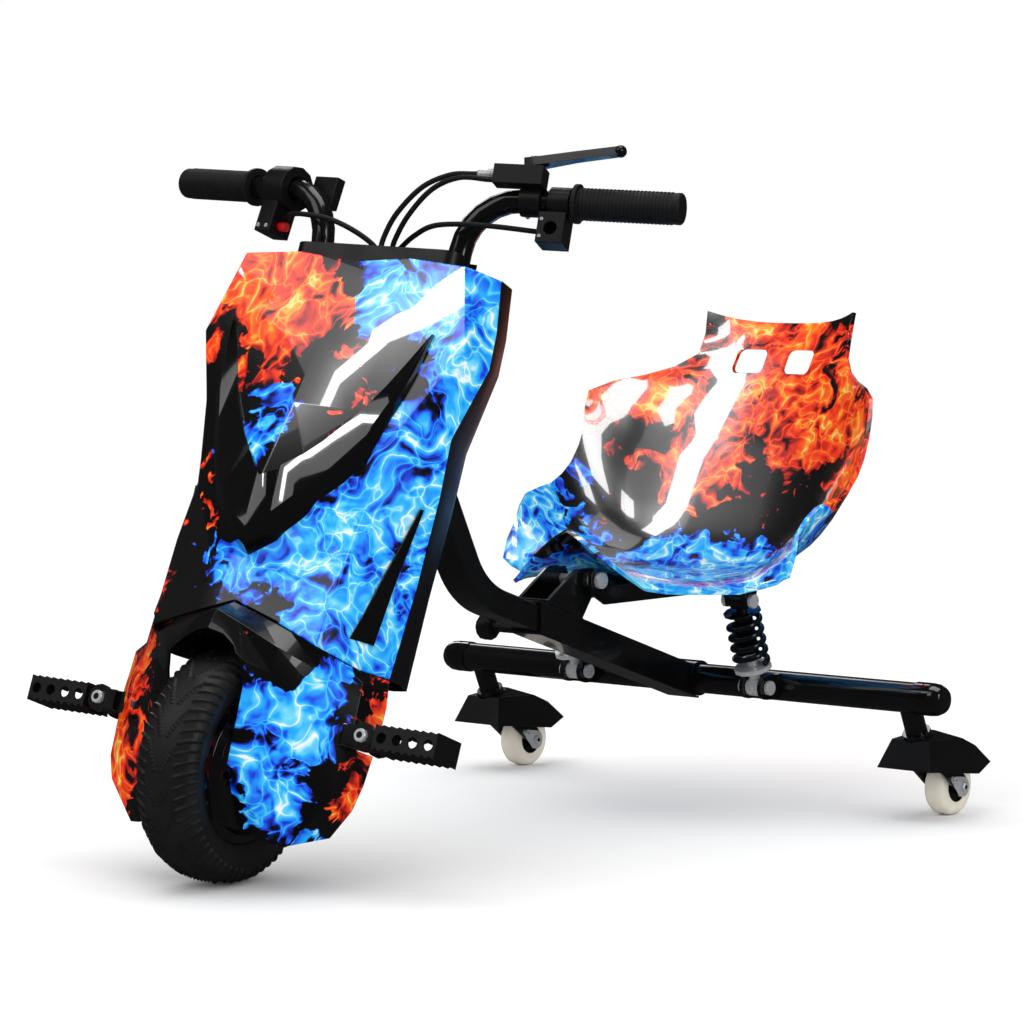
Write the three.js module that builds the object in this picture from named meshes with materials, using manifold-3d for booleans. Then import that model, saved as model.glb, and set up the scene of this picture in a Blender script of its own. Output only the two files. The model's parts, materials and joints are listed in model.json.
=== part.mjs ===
// Drift trike with a driven front wheel, a sprung bucket seat and two swivelling rear casters.
// Millimetres. +X is the rider's left, -Y is the front and +Z is up, with the floor at zero.
import * as THREE from 'three';
import { mergeVertices } from 'three/addons/utils/BufferGeometryUtils.js';
import Module from 'manifold-3d';

const wasm = await Module();
wasm.setup();

// Fits and counts
const GAP = 0.3;
const RUNNING_GAP = 0.6;
const OVERRUN = 8;
const BIG = 400;
const ROUND = 12;
const FINE = 28;

// Steering axis
const STEERING_FOOT_Y = 50;
const RAKE_DEGREES = 20;
const STEER_AT_REST_DEGREES = 9.1;

// Front body panel
const PANEL_HALF_WIDTH = 160;
const PANEL_DEPTH = 100;
const PANEL_FOOT_Z = 240;
const PANEL_HEIGHT = 410;
const PANEL_TOP_Z = PANEL_FOOT_Z + PANEL_HEIGHT;
const PANEL_WALL = 3;
const CHEVRON_RAISE = 14;
const TRIM_RAISE = 2.5;

// Front wheel and fork
const FRONT_TYRE_RADIUS = 115;
const FRONT_TYRE_HALF_WIDTH = 35;
const RIM_RADIUS = 74;
const HUB_HALF_WIDTH = 43;
const FRONT_WHEEL_TRAIL_Y = -5;
const AXLE_BOLT_RADIUS = 6;
const AXLE_NUT_RADIUS = 11;
const AXLE_NUT_LENGTH = 9;
const BLADE_INNER_X = 54;
const BLADE_THICKNESS = 6;
const BLADE_HALF_DEPTH = 20;
const BLADE_BELOW_AXLE = 24;
const CROWN_Z = 250;
const CROWN_THICKNESS = 12;
const CROWN_FRONT_Y = -30;
const CROWN_REAR_Y = 40;
const STEERER_RADIUS = 12;

// Head tube, yoke and handlebar
const HEAD_TOP_SHARE = 0.756;
const HEAD_LENGTH = 80;
const HEAD_HIGH_Z = PANEL_FOOT_Z + HEAD_TOP_SHARE * PANEL_HEIGHT;
const HEAD_LOW_Z = HEAD_HIGH_Z - HEAD_LENGTH;
const STEERER_RISE = 14;
const HEAD_RADIUS = 16;
const HEAD_CUP_RADIUS = 18.5;
const HEAD_CUP_LENGTH = 8;
const CROWN_RACE_LENGTH = 9;
const YOKE_THICKNESS = 12;
const YOKE_HALF_WIDTH = 20;
const YOKE_REAR_WALL = 5;
const YOKE_FRONT_WALL = 3.4;
const BAR_RADIUS = 12;
const BAR_CROSS_HALF = 80;
const BAR_CROSS_Y = 70;
const BAR_CROSS_RISE = 22;
const BAR_CROSS_Z = HEAD_HIGH_Z + BAR_CROSS_RISE;
const BAR_SHOULDER_HALF = 86;
const BAR_SHOULDER_Y = 54;
const BAR_SHOULDER_RISE = 83;
const BAR_SHOULDER_Z = PANEL_TOP_Z + BAR_SHOULDER_RISE;
const BAR_END_HALF = 302;
const BAR_SWEEP = 0.2037;
const BAR_LIFT = 0.0741;
const BAR_LOW_BEND = 25;
const BAR_HIGH_BEND = 60;

// Wheel cover
const COVER_HALF_WIDTH = 145;
const COVER_FOOT_Z = 40;
const COVER_HEIGHT = 220;
const OPENING_HALF_WIDTH = 44;
const OPENING_TOP_Z = 237;
const OPENING_BEND = 44;

// Rear cover of the body and the deck on top
const REAR_COVER_Y = 92;
const DECK_HALF_WIDTH = 98;
const DECK_FRONT_Y = 30;
const DECK_REAR_Y = 84;
const DECK_RISE = 20;
const DECK_HEIGHT = 42;
const DECK_TOP_Z = PANEL_TOP_Z + DECK_RISE;
const DECK_LOW_Z = DECK_TOP_Z - DECK_HEIGHT;
const DECK_CORNER = 14;
const DECK_WALL = 3;
const CABLE_HOLE_RADIUS = 15;
const CABLE_HOLE_Y = 53;

// Foot pegs
const PEG_Y = -6;
const PEG_Z = 165;
const PEG_PIN_X = 157;
const PEG_TIP_X = 242;
const PEG_HALF_DEPTH = 22;
const PEG_HALF_HEIGHT = 13;
const PEG_TOOTH = 3;
const PEG_TEETH = 7;
const PEG_HOLES = 4;
const PEG_HOLE_RADIUS = 6.5;
const PEG_TONGUE_HALF_DEPTH = 13;
const PEG_PIN_RADIUS = 4;
const PEG_EAR_RADIUS = 14;
const PEG_EAR_THICKNESS = 5;
const PEG_BAR_HALF_HEIGHT = 10;

// Controls
const GRIP_INNER_X = 193.5;
const GRIP_END_REACH = 3;
const GRIP_OUTER_X = BAR_END_HALF + GRIP_END_REACH;
const GRIP_RADIUS = 16.5;
const GRIP_FLANGE_RADIUS = 20;
const GRIP_FLANGE_LENGTH = 5;
const THROTTLE_X = 150;
const THROTTLE_LENGTH = 30;
const THROTTLE_RADIUS = 24;
const THROTTLE_BOX_DROP = 52;
const THROTTLE_BOX_HALF = 15;
const BUTTON_RADIUS = 5;
const BUTTON_LENGTH = 9;
const BUTTON_TRAVEL = 2;
const BUTTON_POCKET = 6;
const DISPLAY_HALF_WIDTH = 17;
const DISPLAY_HEIGHT = 34;
const DISPLAY_THICKNESS = 12;
const DISPLAY_GAP = 7;
const CLAMP_LENGTH = 22;
const CLAMP_WALL = 4;
const PERCH_X = 150;
const PERCH_INNER_REACH = 38;
const PERCH_OUTER_REACH = 14;
const PERCH_DEPTH = 26;
const PERCH_HEIGHT = 16;
const ADJUSTER_RADIUS = 4.5;
const ADJUSTER_LENGTH = 20;
const LEVER_THICKNESS = 9;
const LEVER_LIFT = 1.5;
const LEVER_REACH = 92;
const LEVER_TIP_RISE = 14;
const LEVER_BALL_RADIUS = 6.5;
const LEVER_PIN_RADIUS = 4;
const SWITCH_X = 180;
const SWITCH_BOX_HALF = 14;
const SWITCH_BOX_DROP = 30;
const SWITCH_BOX_INSET = 4;
const SOCKET_RADIUS = 7;
const CABLE_RADIUS = 2.8;
const CABLE_STEPS = 16;
const CABLE_SIDES = 8;

// Gooseneck tube and rear beam
const GOOSENECK_WIDTH = 37.4;
const GOOSENECK_HEIGHT = 27.4;
const GOOSENECK_END_Y = 640;
const GOOSENECK_LOW_BEND = 90;
const GOOSENECK_HIGH_BEND = 70;
const GOOSENECK_KNEE_Y = 446.7;
const GOOSENECK_SHOULDER_REACH = 121.6;
const GOOSENECK_SHOULDER_DROP = 24.2;
const BEAM_WIDTH = 44;
const BEAM_HEIGHT = 34;
const BEAM_MOUTH_Y = 540;
const BEAM_MOUTH_Z = 225;
const BEAM_AXLE_DROP = 5;
const KNOB_Y = 552;
const KNOB_DROP = 11.5;
const KNOB_RADIUS = 14.5;
const KNOB_LENGTH = 18;
const KNOB_CHAMFER = 3.6;
const KNOB_STEM_RADIUS = 5;
const KNOB_STEM_LENGTH = 31;

// Rear axle
const AXLE_Y = 820;
const AXLE_Z = 136;
const AXLE_RADIUS = 16.75;
const AXLE_HALF = 314.5;
const COLLAR_RADIUS = 20;
const COLLAR_HALF = 24;
const CAP_RING_RADIUS = 18;
const CAP_RING_LENGTH = 12.5;
const CAP_DOME_LENGTH = 23;

// Seat hinge, carrier and shell
const HINGE_Y = 625;
const HINGE_Z = 260;
const HINGE_BOLT_RADIUS = 5;
const HINGE_HEAD_RADIUS = 9;
const HINGE_HEAD_LENGTH = 6;
const BRACKET_HALF_WIDTH = 22;
const BRACKET_SHEET = 4;
const BRACKET_FRONT_Y = 548;
const BRACKET_REAR_Y = 611;
const EAR_INNER_X = 28;
const EAR_RADIUS = 13;
const CARRIER_DEPTH = 20;
const CARRIER_REAR_Y = 890;
const CARRIER_FRONT_Y = 604;
const CROSS_HALF_LENGTH = 148;
const CROSS_HALF_WIDTH = 18;
const SEAT_HALF_WIDTH = 202;
const SEAT_LENGTH = 416;
const SEAT_SHOCK_SHARE = 0.33935;
const SEAT_FLOOR_Z = 258;
const SEAT_HEIGHT = 290;
const SEAT_WALL = 5;
const SEAT_COLUMNS = 7;
const SLOT_INNER_X = 14;
const SLOT_OUTER_X = 54;
const SLOT_DROP = 74;
const SLOT_HEIGHT = 27;

// Shock absorbers
const SHOCK_X = 127;
const SHOCK_LOW_Y = 785;
const SHOCK_LOW_Z = 137;
const SHOCK_LEAN_DEGREES = 18;
const SHOCK_LENGTH = 103;
const EYE_RADIUS = 10;
const EYE_HALF_WIDTH = 9;
const SHOCK_BOLT_RADIUS = 4;
const SHOCK_HEAD_RADIUS = 8;
const SHOCK_HEAD_LENGTH = 5;
const LUG_RADIUS = 13.5;
const LUG_THICKNESS = 5;
const SPRING_RADIUS = 17.5;
const SPRING_WIRE_RADIUS = 3.5;
const SPRING_TURNS = 4.5;
const SPRING_SEAT_RADIUS = 21;
const SPRING_SEAT_THICKNESS = 5;
const SPRING_LOW_S = 26;
const SPRING_HIGH_S = 88;
const ROD_RADIUS = 6;
const ROD_LENGTH = 66;
const BODY_RADIUS = 10.5;
const BODY_LOW_S = 42;

// Casters
const CASTER_X = 302;
const CASTER_TOP_Y = 828.5;
const CASTER_TOP_Z = 116;
const CASTER_LEAN_DEGREES = 25;
const STEM_RADIUS = 12;
const STEM_LENGTH = 24;
const STEM_FLANGE_RADIUS = 16;
const STEM_FLANGE_LENGTH = 4;
const CASTER_WHEEL_RADIUS = 32;
const CASTER_WHEEL_HALF_WIDTH = 12;
const CASTER_HUB_RADIUS = 17;
const CASTER_WHEEL_Y = 900;
const CASTER_BOLT_RADIUS = 4;
const CASTER_PLATE = 3;
const CASTER_CROWN_DROP = 11;
const CASTER_PLATE_INNER_X = 16;
const FENDER_HALF_WIDTH = 34;
const FENDER_WALL = 3;
const FENDER_FRONT_REACH = 28.5;
const FENDER_REAR_REACH = 45;
const FENDER_FOOT_Z = 45;
const FENDER_RISE = 7;

// Shares chosen by eye
const TREAD_SHARE = 0.2;
const CASTER_TREAD_SHARE = 0.6;
const CASTER_SHOULDER_SHARE = 0.9;
const CHEVRON_TIP_FALL = 0.6;
const CHEVRON_INNER_RAISE = 0.3;
const CHEVRON_RIDGE_SHARE = 0.35;
const CHEVRON_LIP_SHARE = 0.12;
const CHEVRON_LIP_RAISE = 0.8;
const TRIM_TOP_WIDTH = 0.06;
const SPRING_BEND_SHARE = 1.2;
const SPRING_CORNER_SHARE = 0.7;
const PEG_FIRST_HOLE_SHARE = 0.6;
const PEG_TONGUE_BLOCK_SHARE = 0.8;
const PEG_TONGUE_ROUND_SHARE = 0.9;
const LEVER_BELLY_SHARE = 1.3;
const DISPLAY_LOW_SHARE = 1 / 3;
const tyreShares = [
  [0.64, -0.7], [0.68, -0.92], [0.82, -1], [0.92, -0.9], [0.97, -0.6], [1, -TREAD_SHARE],
  [1, TREAD_SHARE], [0.97, 0.6], [0.92, 0.9], [0.82, 1], [0.68, 0.92], [0.64, 0.7],
];
const coverTopShares = [0.6, 0.4, 0.3];
const hubShares = [[0.4, 1], [0.45, 0.86], [0.8, 0.8], [0.88, 0.62], [1, 0.6]];
const panelShares = [
  [[0, 0.04, 0.985], [0.41, 0.02, 1], [0.825, 0.02, 0.988], [0.905, 0.18, 0.985], [0.97, 0.36, 0.983]],
  [[0, -0.1, 0.878], [0.44, -0.06, 0.878], [0.905, 0, 0.878], [0.955, 0.2, 0.87], [1, 0.42, 0.854]],
  [[0, -0.22, 0.761], [0.47, -0.14, 0.765], [0.98, -0.02, 0.775], [0.99, 0.2, 0.768], [1, 0.44, 0.763]],
  [[0, -0.41, 0.585], [0.39, -0.31, 0.585], [0.755, -0.19, 0.58], [0.845, 0.05, 0.578], [0.91, 0.28, 0.573]],
  [[0, -0.65, 0.383], [0.31, -0.5, 0.38], [0.63, -0.25, 0.368], [0.775, 0.04, 0.39], [0.905, 0.33, 0.427]],
  [[0, -0.54, 0.188], [0.31, -0.47, 0.2], [0.63, -0.38, 0.217], [0.755, 0, 0.212], [0.875, 0.37, 0.205]],
  [[0, -0.58, 0.08], [0.3, -0.52, 0.045], [0.61, -0.48, 0.002], [0.8, -0.09, -0.025], [0.875, 0.27, -0.022]],
];
const coverShares = [
  [[0.166, -0.78, 0.95], [0.469, -0.66, 0.868], [0.71, -0.39, 0.809], [0.938, -0.12, 0.809], [1, 0.22, 0.8]],
  [[0.31, -0.86, 0.782], [0.469, -0.66, 0.75], [0.71, -0.42, 0.727], [0.945, -0.12, 0.727], [1, 0.25, 0.74]],
  [[0.317, -0.73, 0.668], [0.469, -0.66, 0.636], [0.71, -0.45, 0.636], [0.952, -0.13, 0.627], [0.993, 0.26, 0.614]],
  [[0.317, -0.68, 0.332], [0.469, -0.58, 0.332], [0.71, -0.38, 0.341], [0.924, -0.14, 0.323], [0.945, 0.29, 0.386]],
  [[0.331, -0.46, 0.2], [0.455, -0.44, 0.182], [0.669, -0.28, 0.173], [0.855, -0.16, 0.218], [0.89, 0.32, 0.273]],
  [[0.359, -0.24, 0.082], [0.441, -0.22, 0.059], [0.538, -0.18, 0.045], [0.628, -0.13, 0.045], [0.793, 0.26, 0.136]],
];
const coverCentreShares = [[-0.83, 0.99], [-0.9, 0.895], [-0.88, 0.68], [-0.8, 0.33], [-0.6, 0.2], [-0.4, 0.09]];
const rearCoverShares = [[1, 0], [0.985, 0.45], [0.9, 0.85], [0.75, 1], [0, 1]];
const chevronOuterShares = [
  [0, 0.188], [0.175, 0.232], [0.33, 0.305], [0.48, 0.398], [0.6, 0.498], [0.67, 0.59], [0.72, 0.688],
  [0.75, 0.805],
];
const chevronInnerShares = [
  [0, 0.383], [0.106, 0.42], [0.2, 0.455], [0.294, 0.495], [0.456, 0.583], [0.56, 0.66], [0.65, 0.735],
  [0.742, 0.8],
];
const trimTopShares = [0.74, 0.39];
const trimFootShares = [[0.3, 0.04], [0.6, 0.01]];
const pedalToothShare = 0.5;
const fenderShares = [
  [1, 0, 0.25], [0.7, 0.1, 0.84], [0.2, 0.38, 1], [0.7, 0.6, 0.8], [0.68, 0.8, 0.6], [0.78, 1, 0.2], [0.84, 0.8, 0],
];
const FENDER_OPEN_SHARE = 0.5;
const casterArmShares = [[-0.35, -0.1], [-0.1, -0.35], [0.3, -0.2], [0.35, 0.2]];
const seatRowShares = [
  { centre: [1, 0.945], edge: [0.51, 0.933, 0.993], bow: 2, lift: 3 },
  { centre: [0.93, 0.83], edge: [0.52, 0.898, 0.82], bow: 2, lift: 3 },
  { centre: [0.885, 0.715], edge: [0.74, 0.79, 0.735], bow: 2, lift: 3 },
  { centre: [0.825, 0.58], edge: [0.98, 0.68, 0.672], bow: 2.4, lift: 3 },
  { centre: [0.755, 0.41], edge: [0.985, 0.661, 0.524], bow: 2.6, lift: 3 },
  { centre: [0.695, 0.22], edge: [0.99, 0.606, 0.386], bow: 3, lift: 3.4 },
  { centre: [0.635, 0.075], edge: [1, 0.524, 0.307], bow: 3, lift: 4 },
  { centre: [0.545, 0], edge: [1, 0.42, 0.276], bow: 3, lift: 4 },
  { centre: [0.42, 0], edge: [0.97, 0.353, 0.18], bow: 3, lift: 4 },
  { centre: [0.3, 0], edge: [0.99, 0.308, 0.024], bow: 3, lift: 3 },
  { centre: [0.2, 0.01], edge: [0.84, 0.3, -0.025], bow: 3, lift: 2 },
  { centre: [0.11, 0.08], edge: [0.68, 0.19, -0.027], bow: 3, lift: 1 },
  { centre: [0.04, 0.165], edge: [0.53, 0.085, -0.022], bow: 2, lift: 0.8 },
  { centre: [0, 0.2], edge: [0.45, 0.045, -0.015], bow: 2, lift: 1.2 },
];

// Angles and places worked out from the sizes
const degrees = THREE.MathUtils.degToRad;
const rake = degrees(RAKE_DEGREES);
const steer = degrees(STEER_AT_REST_DEGREES);
const shockLean = degrees(SHOCK_LEAN_DEGREES);
const casterLean = degrees(CASTER_LEAN_DEGREES);
const point = (x, y, z) => new THREE.Vector3(x, y, z);
const along = (a, b, share) => a.clone().lerp(b, share);
// A faceted bore's corner radius, which leaves the gap at the middle of each facet too.
const clear = (radius, gap = GAP) => (radius + gap) / Math.cos(Math.PI / ROUND);
const carrierTopZ = SEAT_FLOOR_Z - SEAT_WALL - GAP;
const seatFrontY = shockUpper().y - SEAT_SHOCK_SHARE * SEAT_LENGTH;
// A tyre stands on one of its flats, and the steered front wheel on that flat's outer edge.
const flatRadius = (radius) => radius * Math.cos(Math.PI / FINE);
const halfFlat = Math.PI / FINE;
const wheelLean = Math.asin(Math.sin(steer) * Math.sin(rake));
const treadHalfWidth = TREAD_SHARE * FRONT_TYRE_HALF_WIDTH;
const frontHubHeight = flatRadius(FRONT_TYRE_RADIUS) * Math.cos(wheelLean) + treadHalfWidth * Math.sin(wheelLean);
const frontAxleZ = (frontHubHeight + Math.sin(rake) * Math.cos(steer) * FRONT_WHEEL_TRAIL_Y) / Math.cos(rake);
const casterAxleZ = flatRadius(CASTER_WHEEL_RADIUS);

// Solids: closed geometry, joins and cuts

// Keeps only shared positions and the faces that have an area.
function bare(geometry) {
  const copy = geometry.index ? geometry.toNonIndexed() : geometry.clone();
  for (const name of Object.keys(copy.attributes)) {
    if (name !== 'position') copy.deleteAttribute(name);
  }
  const merged = mergeVertices(copy, GAP / FINE / FINE);
  const corners = merged.index.array;
  const faces = [];
  for (let k = 0; k < corners.length; k += 3) {
    const [a, b, c] = corners.slice(k, k + 3);
    if (a !== b && b !== c && c !== a) faces.push(a, b, c);
  }
  merged.setIndex(faces);
  return merged;
}

function toSolid(geometry) {
  const shape = bare(geometry);
  const vertProperties = shape.attributes.position.array;
  const triVerts = Uint32Array.from(shape.index.array);
  return new wasm.Manifold(new wasm.Mesh({ numProp: 3, vertProperties, triVerts }));
}

function toGeometry(solid) {
  const mesh = solid.getMesh();
  const geometry = new THREE.BufferGeometry();
  geometry.setAttribute('position', new THREE.BufferAttribute(mesh.vertProperties, 3));
  geometry.setIndex(new THREE.BufferAttribute(mesh.triVerts, 1));
  return geometry;
}

const join = (...pieces) => toGeometry(pieces.map(toSolid).reduce((a, b) => a.add(b)));
const hull = (corners) => toGeometry(wasm.Manifold.hull(corners.map((p) => p.toArray())));
const cut = (piece, ...tools) => toGeometry(tools.map(toSolid).reduce((a, b) => a.subtract(b), toSolid(piece)));

// A block between two corners.
function block(low, high) {
  const size = high.clone().sub(low);
  const middle = along(low, high, 0.5);
  return new THREE.BoxGeometry(size.x, size.y, size.z).translate(middle.x, middle.y, middle.z);
}

// A round bar from one point to another.
function rod(radius, from, to, sides = ROUND) {
  const reach = to.clone().sub(from);
  const turn = new THREE.Quaternion().setFromUnitVectors(point(0, 1, 0), reach.clone().normalize());
  const middle = along(from, to, 0.5);
  const bar = new THREE.CylinderGeometry(radius, radius, reach.length(), sides);
  return bar.applyQuaternion(turn).translate(middle.x, middle.y, middle.z);
}

// A turned solid about Z: [radius, height] pairs from the foot up, on the axis at both ends or closed.
function turned(profile, sides = ROUND) {
  const points = profile.map(([radius, height]) => new THREE.Vector2(radius, height));
  return new THREE.LatheGeometry(points, sides).rotateX(Math.PI / 2);
}

// The same about X, with the heights along +X.
const turnedAcross = (profile, sides) => turned(profile, sides).rotateY(Math.PI / 2);

function flat(outline, holes, thickness) {
  const shape = new THREE.Shape(outline.map(([u, v]) => new THREE.Vector2(u, v)));
  for (const [u, v, radius] of holes) {
    shape.holes.push(new THREE.Path().absarc(u, v, radius, 0, 2 * Math.PI, true));
  }
  const settings = { depth: thickness, bevelEnabled: false, curveSegments: ROUND / 2 };
  return new THREE.ExtrudeGeometry(shape, settings).translate(0, 0, -thickness / 2);
}

// Sheets cut from an outline: a side sheet lies in Y and Z, a front sheet in X and Z, a level one in X and Y.
function sideSheet(outline, x, thickness, holes = []) {
  const turn = new THREE.Matrix4().makeBasis(point(0, 1, 0), point(0, 0, 1), point(1, 0, 0));
  return flat(outline, holes, thickness).applyMatrix4(turn).translate(x, 0, 0);
}
function frontSheet(outline, y, thickness, holes = []) {
  return flat(outline, holes, thickness).rotateX(Math.PI / 2).translate(0, y, 0);
}
function levelSheet(outline, z, thickness, holes = []) {
  return flat(outline, holes, thickness).translate(0, 0, z);
}

// A rectangle with round corners, as an outline.
function roundRectangle(u0, v0, u1, v1, radius, steps = 4) {
  const corners = [[u1 - radius, v0 + radius, -0.5], [u1 - radius, v1 - radius, 0],
    [u0 + radius, v1 - radius, 0.5], [u0 + radius, v0 + radius, 1]];
  const outline = [];
  for (const [u, v, start] of corners) {
    for (let k = 0; k <= steps; k++) {
      const angle = (start + k / steps / 2) * Math.PI;
      outline.push([u + radius * Math.cos(angle), v + radius * Math.sin(angle)]);
    }
  }
  return outline;
}

// Points along straight runs whose corners are rounded to the given radii.
function roundedRun(corners, radii, steps = 6) {
  const run = [corners[0]];
  for (let k = 1; k < corners.length - 1; k++) {
    const back = corners[k - 1].clone().sub(corners[k]).normalize();
    const ahead = corners[k + 1].clone().sub(corners[k]).normalize();
    const half = back.angleTo(ahead) / 2;
    const inward = back.clone().add(ahead).normalize();
    const centre = corners[k].clone().addScaledVector(inward, radii[k - 1] / Math.sin(half));
    const start = corners[k].clone().addScaledVector(back, radii[k - 1] / Math.tan(half)).sub(centre);
    const axis = start.clone().cross(inward).normalize();
    for (let j = 0; j <= steps; j++) {
      run.push(centre.clone().add(start.clone().applyAxisAngle(axis, -(Math.PI - 2 * half) * (j / steps))));
    }
  }
  run.push(corners[corners.length - 1]);
  return run;
}

// A curve whose stations each become one ring of a tube.
class Stations extends THREE.Curve {
  constructor(stations) {
    super();
    this.stations = stations;
  }
  getPoint(t, target = new THREE.Vector3()) {
    return target.copy(this.stations[Math.round(t * (this.stations.length - 1))]);
  }
  getPointAt(t, target) {
    return this.getPoint(t, target);
  }
  getTangentAt(t, target = new THREE.Vector3()) {
    const last = this.stations.length - 1;
    const k = Math.round(t * last);
    const here = this.stations[k];
    const before = here.clone().sub(this.stations[Math.max(k - 1, 0)]).normalize();
    const after = this.stations[Math.min(k + 1, last)].clone().sub(here).normalize();
    return target.copy(before).add(after).normalize();
  }
}

function tube(stations, radius, sides = ROUND) {
  const ring = [];
  for (let k = 0; k < sides; k++) {
    const angle = 2 * Math.PI * k / sides;
    ring.push(new THREE.Vector2(radius * Math.cos(angle), radius * Math.sin(angle)));
  }
  const settings = { steps: stations.length - 1, extrudePath: new Stations(stations), bevelEnabled: false };
  return new THREE.ExtrudeGeometry(new THREE.Shape(ring), settings);
}

// Closes the space between two grids of points, whose rows run down and columns towards +X as seen from outside.
function between(outer, inner) {
  const positions = [];
  const face = (a, b, c, d) => {
    for (const p of [a, b, c, a, c, d]) positions.push(p.x, p.y, p.z);
  };
  const last = outer.length - 1;
  const side = outer[0].length - 1;
  for (let r = 0; r < last; r++) {
    for (let c = 0; c < side; c++) {
      face(outer[r][c], outer[r + 1][c], outer[r + 1][c + 1], outer[r][c + 1]);
      face(inner[r][c], inner[r][c + 1], inner[r + 1][c + 1], inner[r + 1][c]);
    }
    face(outer[r + 1][0], outer[r][0], inner[r][0], inner[r + 1][0]);
    face(outer[r][side], outer[r + 1][side], inner[r + 1][side], inner[r][side]);
  }
  for (let c = 0; c < side; c++) {
    face(outer[0][c], outer[0][c + 1], inner[0][c + 1], inner[0][c]);
    face(outer[last][c + 1], outer[last][c], inner[last][c], inner[last][c + 1]);
  }
  const geometry = new THREE.BufferGeometry();
  geometry.setAttribute('position', new THREE.Float32BufferAttribute(positions, 3));
  return geometry;
}

// Moves each point of a grid along the surface's normal there; outwards is positive.
function offsetGrid(grid, distance) {
  const normal = (r, c) => {
    const sum = point(0, 0, 0);
    const at = (i, j) => grid[i]?.[j];
    for (const [i, j] of [[1, 1], [1, -1], [-1, -1], [-1, 1]]) {
      const down = at(r + i, c);
      const across = at(r, c + j);
      if (!down || !across) continue;
      const corner = down.clone().sub(grid[r][c]).cross(across.clone().sub(grid[r][c]));
      sum.addScaledVector(corner.normalize(), i * j);
    }
    return sum.normalize();
  };
  return grid.map((row, r) => row.map((p, c) => p.clone().addScaledVector(normal(r, c), distance)));
}

const shifted = (grid, move) => grid.map((row) => row.map((p) => p.clone().add(move)));
const plate = (grid, wall) => between(grid, offsetGrid(grid, -wall));

// Mirrors half a row, from the centre out, to a whole one from -X to +X.
function wholeRow(half) {
  const left = half.slice(half[0].x === 0 ? 1 : 0).reverse().map((p) => point(-p.x, p.y, p.z));
  return [...left, ...half];
}

// Y on a grid that faces the front, at a place in X and Z.
function depthAt(grid, x, z) {
  for (let r = 0; r < grid.length - 1; r++) {
    for (let c = 0; c < grid[0].length - 1; c++) {
      const [a, b, d, e] = [grid[r][c], grid[r + 1][c], grid[r + 1][c + 1], grid[r][c + 1]];
      for (const [p, q, s] of [[a, b, d], [a, d, e]]) {
        const area = (q.x - p.x) * (s.z - p.z) - (s.x - p.x) * (q.z - p.z);
        const u = ((x - p.x) * (s.z - p.z) - (s.x - p.x) * (z - p.z)) / area;
        const v = ((q.x - p.x) * (z - p.z) - (x - p.x) * (q.z - p.z)) / area;
        if (u >= -GAP / 100 && v >= -GAP / 100 && u + v <= 1 + GAP / 100) {
          return p.y + u * (q.y - p.y) + v * (s.y - p.y);
        }
      }
    }
  }
  return grid[0][(grid[0].length - 1) / 2].y;
}

// Materials, each made for one mesh
const FINISHES = {
  blackPaint: { color: 0x17181a, roughness: 0.32, metalness: 0.4 },
  blackPlastic: { color: 0x141416, roughness: 0.5, metalness: 0 },
  glossBlack: { color: 0x101012, roughness: 0.15, metalness: 0 },
  flameFilm: { color: 0x1464c8, roughness: 0.12, metalness: 0 },
  seatFilm: { color: 0xc84614, roughness: 0.12, metalness: 0 },
  rubber: { color: 0x1c1c1e, roughness: 0.8, metalness: 0 },
  tyre: { color: 0x202123, roughness: 0.85, metalness: 0 },
  cream: { color: 0xd8d2c2, roughness: 0.45, metalness: 0 },
  chrome: { color: 0xc8cacc, roughness: 0.15, metalness: 1 },
  steel: { color: 0x9a9da0, roughness: 0.35, metalness: 1 },
};

function mesh(name, geometry, finish) {
  const shape = bare(geometry);
  const piece = new THREE.Mesh(shape, new THREE.MeshStandardMaterial(FINISHES[finish]));
  shape.computeVertexNormals();
  piece.name = name;
  return piece;
}

const sides = [['left', 1], ['right', -1]];

// Head tube and the places that both frames share
const axisToWorld = new THREE.Matrix4().makeRotationX(-rake).setPosition(0, STEERING_FOOT_Y, 0);
const beamSlope = Math.atan2(BEAM_MOUTH_Z - AXLE_Z + BEAM_AXLE_DROP, AXLE_Y - BEAM_MOUTH_Y);
const beamAt = (y) => BEAM_MOUTH_Z - (y - BEAM_MOUTH_Y) * Math.tan(beamSlope);
const beamTopAt = (y) => beamAt(y) + BEAM_HEIGHT / 2 / Math.cos(beamSlope);

function headTube() {
  const bore = STEERER_RADIUS + RUNNING_GAP;
  const low = HEAD_LOW_Z + HEAD_CUP_LENGTH;
  const high = HEAD_HIGH_Z - HEAD_CUP_LENGTH;
  const profile = [[bore, HEAD_LOW_Z], [HEAD_CUP_RADIUS, HEAD_LOW_Z], [HEAD_CUP_RADIUS, low], [HEAD_RADIUS, low],
    [HEAD_RADIUS, high], [HEAD_CUP_RADIUS, high], [HEAD_CUP_RADIUS, HEAD_HIGH_Z], [bore, HEAD_HIGH_Z],
    [bore, HEAD_LOW_Z]];
  return mesh('head_tube', turned(profile, FINE), 'blackPaint');
}

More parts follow.
